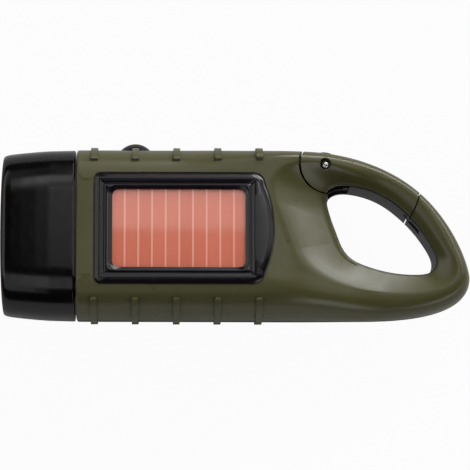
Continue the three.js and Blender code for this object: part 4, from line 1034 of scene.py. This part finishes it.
def head_bezel():
    rings = []
    for share, width, depth in head_sections():
        x = head_back - share * (head_back - head_front)
        sizes = (width * half_width, depth * front_depth, depth * rear_depth)
        rings.append(section(x, *sizes, edge_reach + head_crown))
    spigot = inset_loft((head_back - overrun, spigot_inset), (spigot_end, spigot_inset))
    inside = inset_loft((head_front + lip_thickness, bore_inset), (spigot_end + overrun, bore_inset))
    mouth = inset_loft(
        (head_front - overrun, lip_inset - mouth_flare),
        (head_front + mouth_depth, lip_inset),
        (head_front + head_wall, lip_inset),
    )
    groove = inset_tube(groove_start, groove_end, 0, spigot_inset + groove_depth)
    notch = common(
        gear_room(crank_teeth, -rear_depth, crank_axis),
        plate(-2 * hub_radius, 0, half_width, -rear_depth, crank_gear_top + running_gap),
    )
    return cut(join(common(loft(rings), bowed_space()), spigot), inside, mouth, groove, notch)


def bowed_space():
    """Everything behind the gently bowed front of the head."""
    half = half_width + overrun
    span = math.asin(half / front_bow_radius)
    front = arc((head_front + front_bow_radius, 0), front_bow_radius, math.pi - span, math.pi + span, 48)
    return prism(np.concatenate([front, [[0, -half], [0, half]]]), far_down, far_up)


def front_lens():
    ease = gap / 2
    return inset_loft(
        (lens_front, inner_inset + ease),
        (lens_front + ease, inner_inset),
        (lens_back - ease, inner_inset),
        (lens_back, inner_inset + ease),
    )


def reflector():
    body = inset_loft((reflector_front, inner_inset), (reflector_back, inner_inset))
    throat = lamp_radius + running_gap
    profile = [(throat, reflector_back + overrun)]
    for share in np.linspace(0, 1, 24) ** 1.5:
        radius = math.sqrt(throat**2 + (cup_mouth**2 - throat**2) * share)
        profile.append((radius, reflector_back - share * reflector_depth))
    profile.append((cup_mouth, reflector_front - overrun))
    cups = [turned(profile, (0, y, 0), "x", cup_sides) for y in lamp_places]
    screw_place = lamp_places[-1] + lamp_screw_offset
    bottom = reflector_back - lamp_screw_depth - gap
    pilots = [bore(bottom, reflector_back + overrun, (side * screw_place, 0), "x") for side in (-1, 1)]
    return cut(body, *cups, *pilots)


def lamp(y):
    centre = lamp_back - lamp_length + lamp_radius
    tip = dome(lamp_radius, centre, -lamp_radius, lamp_tip_angle, math.pi / 2, 14)
    rim = lamp_radius + lamp_rim
    foot = [(lamp_radius, lamp_rim_front), (rim, lamp_rim_front), (rim, lamp_back)]
    return turned([*tip, *foot], (0, y, 0), "x")


# Solar panel and its frame
def frame_plan(inset):
    nose = (frame_nose - frame_nose_radius, 0)
    span = math.asin((frame_half_width - frame_corner) / frame_nose_radius)
    corner = (frame_nose - frame_corner - frame_corner_back, frame_half_width - frame_corner)
    tail = (frame_start + frame_tail_corner, frame_half_width - frame_tail_corner)
    quarter = math.pi / 2
    upper = np.concatenate([
        arc(nose, frame_nose_radius - inset, 0, span, 40)[1:],
        arc(corner, frame_corner - inset, quarter / 3, quarter, 16),
        arc(tail, frame_tail_corner - inset, quarter, 2 * quarter, 12),
    ])
    return np.concatenate([upper, upper[::-1] * (1, -1)])


def window_plan(margin):
    half = window_half_width + margin
    return rounded_rectangle(window_start - margin, window_end + margin, half, window_corner + margin)


def groove_plan(margin):
    """The rectangle with sharp corners that the frame's groove follows."""
    half = window_half_width + groove_side_margin + margin
    x0 = window_start - groove_back_margin - margin
    x1 = window_end + groove_side_margin + margin
    return rounded_rectangle(x0, x1, half, gap)


def solar_frame():
    """The frame from the window's edge up its bevel, through the groove and down the outer slope."""
    centre = np.array([(window_start + window_end) / 2, 0])
    out = directions(frame_sides)
    foot = front_depth - gap / 2
    edge = front_depth + frame_edge
    top = front_depth + frame_height
    flat = top - gap / 2
    low_bevel, high_bevel = (share * frame_bevel for share in frame_bevel_shares)

    def at(plan, height):
        return meet(plan, centre, out), height

    def held(margin, height, inside):
        """The groove's outer side, kept within the frame's own slope."""
        spots = meet(groove_plan(margin), centre, out)
        limit = meet(frame_plan(frame_slope + inside), centre, out)
        beyond = distances(spots, centre) > distances(limit, centre)
        spots[beyond] = limit[beyond]
        return spots, height

    rows = [
        at(window_plan(0), foot),
        at(window_plan(0), edge),
        at(window_plan(low_bevel), flat - 0.8 * frame_ease_drop),
        at(window_plan(high_bevel), flat),
        at(groove_plan(-groove_slope - frame_ease), flat),
        at(groove_plan(-groove_slope), flat - 0.6 * frame_ease_drop),
        at(groove_plan(-frame_ease), top - frame_groove),
        at(groove_plan(0), top - frame_groove),
        held(groove_lip, top - frame_ease_drop, 5 * frame_ease),
        held(groove_lip + 2 * frame_ease, top, 3 * frame_ease),
        at(frame_plan(frame_slope + frame_ease), top),
        at(frame_plan(frame_slope - frame_ease), top - frame_ease_drop),
        at(frame_plan(frame_ease), edge + frame_ease),
        at(frame_plan(0), edge),
        at(frame_plan(0), foot),
    ]
    return ring_body(columns_of(rows))


def solar_panel():
    """A slightly crowned plate: its glass bows up along the middle."""
    half = window_half_width + panel_lap
    high = front_depth - gap
    low = high - panel_thickness
    shares = np.linspace(1, -1, 33)
    top = np.column_stack([half * shares, high - panel_crown * shares**2])
    ring = np.concatenate([top, [[-half, low], [half, low]]])
    return loft([upright(x, ring) for x in (window_start - panel_lap, window_end + panel_lap)])


# Push button
def power_button():
    dome_radius = (button_radius**2 + button_proud**2) / (2 * button_proud)
    span = math.asin(button_radius / dome_radius)
    centre = half_width + button_proud - dome_radius
    top = dome(dome_radius, centre, dome_radius, button_top_angle, span, 18)
    flange_top = inner_side - gap
    foot = flange_top - button_flange
    rim = button_radius + flange_margin
    flange = [(button_radius, flange_top), (rim, flange_top), (rim, foot)]
    stem = [(stem_radius, foot), (stem_radius, foot - gap)]
    return turned([*top, *flange, *stem], (button_place, 0, button_height), "y")


# Crank
knob_axis_height = floor + arm_thickness / 2
slot_start = knob_reach - knob_length - finger_gap
slot_end = knob_reach + knob_thickness / 2 + gap
cap_top = floor + cap_thickness + gap


def arm_plan(inset):
    hub = arc((0, 0), hub_radius - inset, 0, 2 * math.pi, round_sides)[1:]
    end = arc((arm_tip - arm_half_width, 0), arm_half_width - inset, 0, 2 * math.pi, round_sides)[1:]
    return hull_of([*hub, *end])


def slot_plan(margin):
    side = knob_half_width + gap + margin
    return rounded_rectangle(slot_start - margin, slot_end + margin, side, overrun)


def arm_body():
    centre = np.array([(arm_tip - hub_radius) / 2, 0])
    out = directions(arm_sides)
    top = floor + arm_thickness

    def at(inset, height):
        return raised(meet(arm_plan(inset), centre, out), height)

    lower = [at(inset, floor + rise) for inset, rise in rounding(arm_fillet, 6)]
    upper = [at(rise, top - inset) for inset, rise in rounding(gap, 4)]
    boss = rod(arm_boss_radius, floor + arm_thickness / 2, crank_gear_bottom - gap, sides=round_sides)
    return join(loft([*lower, *upper]), boss)


def knob_slot():
    """The slot that the folded knob lies in, flared at both faces of the arm."""
    top = floor + arm_thickness
    flare = overrun / 2
    return loft([
        raised(slot_plan(flare + gap), floor - flare),
        raised(slot_plan(0), floor + gap),
        raised(slot_plan(0), top - gap),
        raised(slot_plan(flare + gap), top + flare),
    ])


def knob_bore(low, high):
    return rod(knob_pin_radius + gap, low, high, (knob_reach, knob_axis_height), "y")


def crank_arm():
    key_bottom = crank_gear_bottom - key_depth
    return cut(
        arm_body(),
        knob_slot(),
        knob_bore(-arm_half_width - overrun, arm_half_width - wall / 2),
        rod(cap_radius + gap, floor - overrun, cap_top, sides=round_sides),
        rod(screw_head_radius + gap, floor, cap_top + screw_head_height),
        bore(floor, crank_gear_bottom),
        rod(key_radius + gap, key_bottom - gap, crank_gear_bottom + overrun, sides=6),
    )


def crank_cap():
    """A disc with eased edges and a shallow ring turned into its face."""
    rim = [
        (cap_radius - gap, floor + cap_thickness),
        (cap_radius, floor + cap_thickness - gap),
        (cap_radius, floor + gap),
        (cap_radius - 0.3 * gap, floor + 0.3 * gap),
        (cap_radius - gap, floor),
    ]
    face = [(share * cap_radius, floor + deep * gap) for share, deep in cap_face_shares]
    return turned([*rim, *face])


def crank_knob():
    half = knob_thickness / 2
    far = knob_reach - knob_length + knob_end_radius
    ends = [(far, knob_axis_height + side * (half - knob_end_radius)) for side in (-1, 1)]
    centre = np.array([knob_reach - knob_length / 2, knob_axis_height])
    out = directions(plan_sides)

    def at(inset, y):
        pivot = arc((knob_reach, knob_axis_height), half - inset, 0, 2 * math.pi, round_sides)[1:]
        corners = [arc(end, knob_end_radius - inset, 0, 2 * math.pi, small_sides) for end in ends]
        plan = meet(hull_of(np.concatenate([pivot, *corners])), centre, out)
        return np.insert(plan, 1, y, axis=1)

    stops = rounding(2 * gap, 5)
    near = [at(inset, rise - knob_half_width) for inset, rise in stops]
    away = [at(inset, knob_half_width - rise) for inset, rise in stops[::-1]]
    return cut(loft([*near, *away]), knob_bore(-knob_half_width - overrun, knob_half_width + overrun))


# Screws whose slotted heads show
def screw(spot, head_bottom, tip):
    base = head_bottom + screw_head_height
    profile = [
        (0.3 * screw_head_radius, head_bottom),
        (0.8 * screw_head_radius, head_bottom + 0.3 * gap),
        (screw_head_radius - gap / 2, head_bottom + gap),
        (screw_head_radius, head_bottom + 2 * gap),
        (screw_head_radius, base),
        (screw_radius, base),
        (screw_radius, tip),
    ]
    x, y = spot
    half = screw_head_radius + overrun
    side = screw_slot / 2
    slot = block(x - half, x + half, y - side, y + side, head_bottom - overrun, head_bottom + screw_slot)
    return cut(turned(profile, (x, y, 0), sides=small_sides), slot)


def gate_pin():
    rise = gate_pin_radius / 2
    top = dome(gate_pin_radius, pin_top - gate_pin_sink / 2 - rise, rise, gate_pin_angle, math.pi / 2, 8)
    return turned([*top, (gate_pin_radius, pin_bottom)], (*pin, 0), sides=small_sides)


# Materials: noise scales are counts in a metre, and depths, eases and pitches are in metres
grain_scale = 3800
grain_depth = 0.000006
edge_ease = 0.00018
fine_edge_ease = 0.00008
scratch_depth = 0.00001
scratch_ease = 0.0001
line_depth = 0.00003
ripple_depth = 0.000005
winding_pitch = 0.00035
winding_depth = 0.0001


def linear(*srgb):
    """A colour given as it looks on screen, from 0 to 255, as Blender's linear values."""
    shares = [value / 255 for value in srgb]
    return (*[s / 12.92 if s <= 0.04045 else ((s + 0.055) / 1.055) ** 2.4 for s in shares], 1)


class Nodes:
    """Short ways to add nodes to a node tree."""

    def __init__(self, tree):
        self.tree = tree

    def node(self, kind, inputs=None, **settings):
        made = self.tree.nodes.new(kind)
        for key, value in settings.items():
            setattr(made, key, value)
        for key, value in (inputs or {}).items():
            self.put(made.inputs[key], value)
        return made

    def put(self, socket, value):
        if isinstance(value, bpy.types.NodeSocket):
            self.tree.links.new(value, socket)
        else:
            socket.default_value = value

    def math(self, operation, *values):
        return self.node("ShaderNodeMath", dict(enumerate(values)), operation=operation).outputs[0]

    def ramp(self, value, low, high, start=0.0, end=1.0, **settings):
        inputs = {"Value": value, "From Min": start, "From Max": end, "To Min": low, "To Max": high}
        return self.node("ShaderNodeMapRange", inputs, **settings).outputs["Result"]


finishes = {}


class Finish(Nodes):
    """A material and its shader, kept in finishes under its name."""

    def __init__(self, name, **sockets):
        if name not in finishes:
            finishes[name] = bpy.data.materials.new(name)
            finishes[name].use_nodes = True
        super().__init__(finishes[name].node_tree)
        self.shader = self.tree.nodes["Principled BSDF"]
        for key, value in sockets.items():
            self.shader.inputs[key.replace("_", " ")].default_value = value

    def place(self):
        return self.node("ShaderNodeTexCoord").outputs["Object"]

    def along(self, axis):
        return self.node("ShaderNodeSeparateXYZ", {0: self.place()}).outputs[axis]

    def noise(self, scale, detail=3, roughness=0.5):
        inputs = {"Vector": self.place(), "Scale": scale, "Detail": detail, "Roughness": roughness}
        return self.node("ShaderNodeTexNoise", inputs).outputs["Fac"]

    def mix(self, share, first, second):
        made = self.node("ShaderNodeMix", data_type="RGBA")
        for socket, value in ((made.inputs[0], share), (made.inputs[6], first), (made.inputs[7], second)):
            self.put(socket, value)
        return made.outputs[2]

    def colour(self, value):
        self.put(self.shader.inputs["Base Color"], value)

    def gloss(self, value):
        self.put(self.shader.inputs["Roughness"], value)

    def bump(self, height, distance, strength=1.0, edge=None):
        inputs = {"Height": height, "Distance": distance, "Strength": strength}
        if edge:
            inputs["Normal"] = self.node("ShaderNodeBevel", {"Radius": edge}, samples=4).outputs[0]
        self.put(self.shader.inputs["Normal"], self.node("ShaderNodeBump", inputs).outputs[0])


def plastic(name, srgb, rough, edge=edge_ease, **sockets):
    """Moulded plastic: a fine spark-eroded grain, slightly uneven gloss and tone, eased edges."""
    finish = Finish(name, **sockets)
    colour = linear(*srgb)
    darker = (*[0.92 * part for part in colour[:3]], 1)
    tone = finish.ramp(finish.noise(90, 4), 0, 1, 0.3, 0.7)
    finish.colour(finish.mix(tone, darker, colour))
    finish.gloss(finish.ramp(finish.noise(400, 5, 0.6), rough - 0.03, rough + 0.04, 0.3, 0.7))
    finish.bump(finish.noise(grain_scale, 4, 0.6), grain_depth, 1.0, edge)


def rear_plastic_with_painted_shade():
    """Grey plastic of the rear half, with painted shade: the top of the lip that lines the hole is painted
    nearly black, standing in for the shadowed gap under the front half's edge.
    """
    plastic("grey_plastic", (74, 74, 66), 0.42, IOR=1.5)
    finish = Finish("grey_plastic")
    tone = finish.shader.inputs["Base Color"].links[0].from_socket
    # Painted shade: a nearly black band at the top of the lip, where the shadowed gap shows
    rim = finish.ramp(finish.along(2), 0, 1, liner_height - 2 * gap, liner_height - gap)
    finish.colour(finish.mix(rim, tone, linear(16, 16, 14)))


def metal(name, srgb, rough, scale=1500):
    """Turned or rolled metal with fine scratches and a slightly uneven tone."""
    finish = Finish(name, Metallic=1.0)
    colour = linear(*srgb)
    darker = (*[0.75 * part for part in colour[:3]], 1)
    finish.colour(finish.mix(finish.noise(scale / 4, 5, 0.7), darker, colour))
    finish.gloss(finish.ramp(finish.noise(scale, 6, 0.7), rough * 0.7, rough * 1.4, 0.3, 0.7))
    finish.bump(finish.noise(2 * scale, 3), scratch_depth, 1.0, scratch_ease)


def cell_material():
    """Thin-film solar panel: pale lines between its cells, each cell a little off the next in tone."""
    finish = Finish("solar_cell", IOR=1.5, Roughness=0.32, Coat_Weight=1.0, Coat_Roughness=0.06, Coat_IOR=1.5)
    from_first = finish.math("SUBTRACT", finish.along(0), first_stripe)
    along = finish.math("DIVIDE", from_first, stripe_pitch)
    away = finish.math("ABSOLUTE", finish.math("SUBTRACT", along, finish.math("ROUND", along)))
    share = stripe_width / stripe_pitch / 2
    line = finish.ramp(away, 1.0, 0.0, 0.6 * share, 1.4 * share)
    cell = {"W": finish.math("FLOOR", along)}
    tint = finish.node("ShaderNodeTexWhiteNoise", cell, noise_dimensions="1D").outputs["Value"]
    tone = finish.mix(tint, linear(214, 113, 87), linear(221, 120, 94))
    streak = finish.ramp(finish.noise(500, 3), 0, 1, 0.35, 0.65)
    tone = finish.mix(finish.math("MULTIPLY", streak, 0.2), tone, linear(206, 104, 79))
    finish.colour(finish.mix(line, tone, linear(238, 166, 146)))
    finish.bump(line, line_depth, 0.6)


def clear_material(name, colour, rough):
    finish = Finish(name, Transmission_Weight=1.0, IOR=1.49, Base_Color=colour)
    finish.gloss(finish.ramp(finish.noise(300, 4), rough, rough + 0.03, 0.3, 0.7))
    finish.bump(finish.noise(800, 2), ripple_depth, 0.5)


def board_material():
    """Circuit board: solder mask over tracks that show as slightly raised paths."""
    finish = Finish("circuit_board", IOR=1.5)
    layout = {"Vector": finish.place(), "Scale": 260.0, "Mortar Size": 0.03}
    path = finish.node("ShaderNodeTexBrick", layout).outputs["Fac"]
    finish.colour(finish.mix(path, linear(28, 84, 44), linear(46, 112, 62)))
    finish.gloss(finish.ramp(finish.noise(600), 0.3, 0.42))
    finish.bump(path, line_depth)


def coil_material():
    """Enamelled winding: fine turns round the stator."""
    finish = Finish("winding_copper", Metallic=1.0)
    phase = finish.math("MULTIPLY", finish.along(2), 2 * math.pi / winding_pitch)
    turns = finish.ramp(finish.math("SINE", phase), 0, 1, -1, 1)
    finish.colour(finish.mix(turns, linear(120, 62, 30), linear(196, 118, 66)))
    finish.gloss(finish.ramp(finish.noise(900), 0.25, 0.4))
    finish.bump(turns, winding_depth)


def make_finishes():
    plastic("olive_plastic", (75, 73, 40), 0.3, IOR=1.5)
    rear_plastic_with_painted_shade()
    plastic("black_plastic", (3, 3, 3), 0.17, IOR=1.43)
    plastic("button_plastic", (4, 4, 4), 0.26, IOR=1.36)
    plastic("frame_plastic", (15, 10, 17), 0.18, edge=fine_edge_ease, IOR=1.46)
    plastic("knob_plastic", (48, 49, 46), 0.4, IOR=1.5)
    cell_material()
    clear_material("clear_lens", (0.97, 0.98, 0.99, 1), 0.02)
    clear_material("lamp_epoxy", (0.95, 0.97, 1, 1), 0.03)
    metal("mirror_coat", (228, 228, 230), 0.06, 300)
    metal("screw_steel", (190, 190, 188), 0.3)
    metal("pin_steel", (226, 224, 222), 0.25)
    metal("stator_steel", (150, 150, 152), 0.35)
    metal("bushing_brass", (196, 160, 92), 0.3)
    metal("magnet", (88, 88, 92), 0.4)
    plastic("gear_nylon", (228, 224, 212), 0.45, Subsurface_Weight=0.1, IOR=1.53)
    plastic("plunger_plastic", (160, 40, 34), 0.4)
    plastic("cell_wrap", (46, 74, 134), 0.3)
    plastic("wire_black", (26, 26, 26), 0.45)
    plastic("wire_red", (170, 32, 26), 0.45)
    board_material()
    coil_material()


make_finishes()


def dress(shape, finish, node):
    """Gives a shape its finish, and puts it on the body of the CAD node it stands for."""
    shape.name = node + "_fine"
    mesh = shape.data
    mesh.name = shape.name
    mesh.materials.clear()
    mesh.materials.append(finishes[finish])
    mesh.shade_smooth()
    mesh.set_sharp_from_angle(angle=sharp_angle)
    even = shape.modifiers.new("even", "WEIGHTED_NORMAL")
    even.keep_sharp = True
    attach(shape, frame["nodes"][node]["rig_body"])
    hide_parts(node)


dress(front_shell(), "olive_plastic", "front_shell")
dress(rear_shell(), "grey_plastic", "rear_shell")
dress(gate_front(), "olive_plastic", "gate_front")
dress(gate_rear(), "grey_plastic", "gate_rear")
dress(gate_pin(), "pin_steel", "gate_pin")
dress(head_bezel(), "black_plastic", "head_bezel")
dress(front_lens(), "clear_lens", "front_lens")
dress(reflector(), "mirror_coat", "reflector")
for number, lamp_place in enumerate(lamp_places, 1):
    dress(lamp(lamp_place), "lamp_epoxy", f"led_{number}")
dress(solar_frame(), "frame_plastic", "solar_frame")
dress(solar_panel(), "solar_cell", "solar_panel")
dress(power_button(), "button_plastic", "power_button")
dress(crank_arm(), "black_plastic", "crank_arm")
dress(crank_cap(), "knob_plastic", "crank_cap")
dress(crank_knob(), "knob_plastic", "crank_knob")
for number, shell_spot in enumerate(shell_spots, 1):
    shape = screw(shell_spot, shell_screw_head(shell_spot), shell_screw_tip(shell_spot))
    dress(shape, "screw_steel", f"shell_screw_{number}")
dress(screw(gate_middle, gate_screw_head, gate_screw_rise), "screw_steel", "gate_screw")

# The CAD nodes that stay get the first finish here with a word that is in their name
node_words = {
    "screw_steel": ["screw", "knob_pin", "idler_axle", "gate_spring"],
    "circuit_board": ["board"],
    "wire_black": ["lead_black"],
    "wire_red": ["lead_red"],
    "cell_wrap": ["battery"],
    "black_plastic": ["switch_body"],
    "plunger_plastic": ["switch_plunger"],
    "bushing_brass": ["crank_bushing", "rotor_pinion"],
    "gear_nylon": ["_gear"],
    "magnet": ["rotor_magnet"],
    "stator_steel": ["stator_can", "gear_plate"],
    "winding_copper": ["stator_coil"],
}


def dress_nodes():
    for name, node in frame["nodes"].items():
        if node.hide_render:
            continue
        finish = next(key for key, words in node_words.items() if any(word in name for word in words))
        node.data.materials.clear()
        node.data.materials.append(finishes[finish])


dress_nodes()

# Floor, light and camera
floor_size = 3.0
camera_place = Vector((0.004, -0.15, 0.9705))
camera_aim = Vector((0.024, 0.00025, 0.0205))
lens = 265.27
sensor = 36.0
clip_end = 10
image_width = 470
axis_row = 235.9


def stage_floor():
    half = floor_size / 2
    corners = [(-half, -half, 0), (half, -half, 0), (half, half, 0), (-half, half, 0)]
    mesh = bpy.data.meshes.new("floor")
    mesh.from_pydata(corners, [], [(0, 1, 2, 3)])
    made = bpy.data.objects.new("floor", mesh)
    bpy.context.collection.objects.link(made)
    finish = Finish("floor_white", Roughness=0.9, Base_Color=(0.6, 0.6, 0.6, 1))
    white = finish.node("ShaderNodeEmission", {"Color": (1, 1, 1, 1), "Strength": 1.0}).outputs[0]
    seen = finish.node("ShaderNodeLightPath").outputs["Is Camera Ray"]
    shaders = {0: finish.math("MULTIPLY", seen, 0.96), 1: finish.shader.outputs[0], 2: white}
    both = finish.node("ShaderNodeMixShader", shaders).outputs[0]
    finish.put(finish.tree.nodes["Material Output"].inputs["Surface"], both)
    mesh.materials.append(finishes["floor_white"])


# Boxes of light round the object, in degrees from straight up: towards +X from and to, how soft those two
# edges are, the same towards +Y, and the radiance
light_boxes = [
    (-62, -15, 4, -55, -9, 4, 0.9),
    (-15, -3, 2, -40, -9, 3, 1.4),
    (-6, 4, 11, 9, 15, 1, 2.3),
    (4, 15, 3, 9, 15, 1, 7.0),
    (-15, -3, 2, 18, 37, 8, 2.6),
    (-3, 3, 2, 22, 40, 6, 1.3),
    (-40, -15, 4, 25, 60, 4, 0.4),
    (-3, 15, 3, 40, 72, 4, 1.5),
    (15, 30, 3, 42, 78, 5, 9.7),
    (30, 50, 3, 39, 78, 5, 5.8),
    (50, 80, 4, 60, 80, 4, 10.5),
    (30, 80, 6, -3, 40, 6, 1.3),
    (-80, -42, 6, -20, 66, 6, 1.5),
    (30, 80, 6, -80, -55, 6, 2.3),
]
room_light = 0.03


def sky():
    """A dark studio with soft-edged boxes of light; white where the camera sees it."""
    world = bpy.data.worlds.new("studio")
    bpy.context.scene.world = world
    world.use_nodes = True
    world.node_tree.nodes.clear()
    nodes = Nodes(world.node_tree)

    def within(angle, low, high, soft):
        start = [math.radians(low - soft / 2), math.radians(low + soft / 2)]
        end = [math.radians(high - soft / 2), math.radians(high + soft / 2)]
        rise = nodes.ramp(angle, 0, 1, *start, interpolation_type="SMOOTHSTEP")
        fall = nodes.ramp(angle, 1, 0, *end, interpolation_type="SMOOTHSTEP")
        return nodes.math("MULTIPLY", rise, fall)

    way = nodes.node("ShaderNodeTexCoord").outputs["Generated"]
    x, y, z = nodes.node("ShaderNodeSeparateXYZ", {0: way}).outputs
    across = nodes.math("ARCTAN2", x, z)
    along = nodes.math("ARCTAN2", y, z)
    level = room_light
    for x0, x1, soft_x, y0, y1, soft_y, radiance in light_boxes:
        box = nodes.math("MULTIPLY", within(across, x0, x1, soft_x), within(along, y0, y1, soft_y))
        level = nodes.math("MULTIPLY_ADD", box, radiance, level)
    light = nodes.node("ShaderNodeBackground", {"Strength": level}).outputs[0]
    white = nodes.node("ShaderNodeBackground", {"Strength": 1.0}).outputs[0]
    seen = nodes.node("ShaderNodeLightPath").outputs["Is Camera Ray"]
    mixed = nodes.node("ShaderNodeMixShader", {0: seen, 1: light, 2: white}).outputs[0]
    nodes.put(nodes.node("ShaderNodeOutputWorld").inputs[0], mixed)


def camera():
    data = bpy.data.cameras.new("camera")
    data.sensor_width = sensor
    data.lens = lens
    data.shift_y = (axis_row - image_width / 2) / image_width
    data.clip_end = clip_end
    made = bpy.data.objects.new("camera", data)
    ahead = (camera_aim - camera_place).normalized()
    right = ahead.cross(Vector((0, 1, 0))).normalized()
    turn = Matrix((right, right.cross(ahead), -ahead)).transposed()
    made.matrix_world = Matrix.Translation(camera_place) @ turn.to_4x4()
    bpy.context.collection.objects.link(made)
    bpy.context.scene.camera = made


stage_floor()
sky()
camera()
bpy.context.scene.view_settings.view_transform = "Standard"
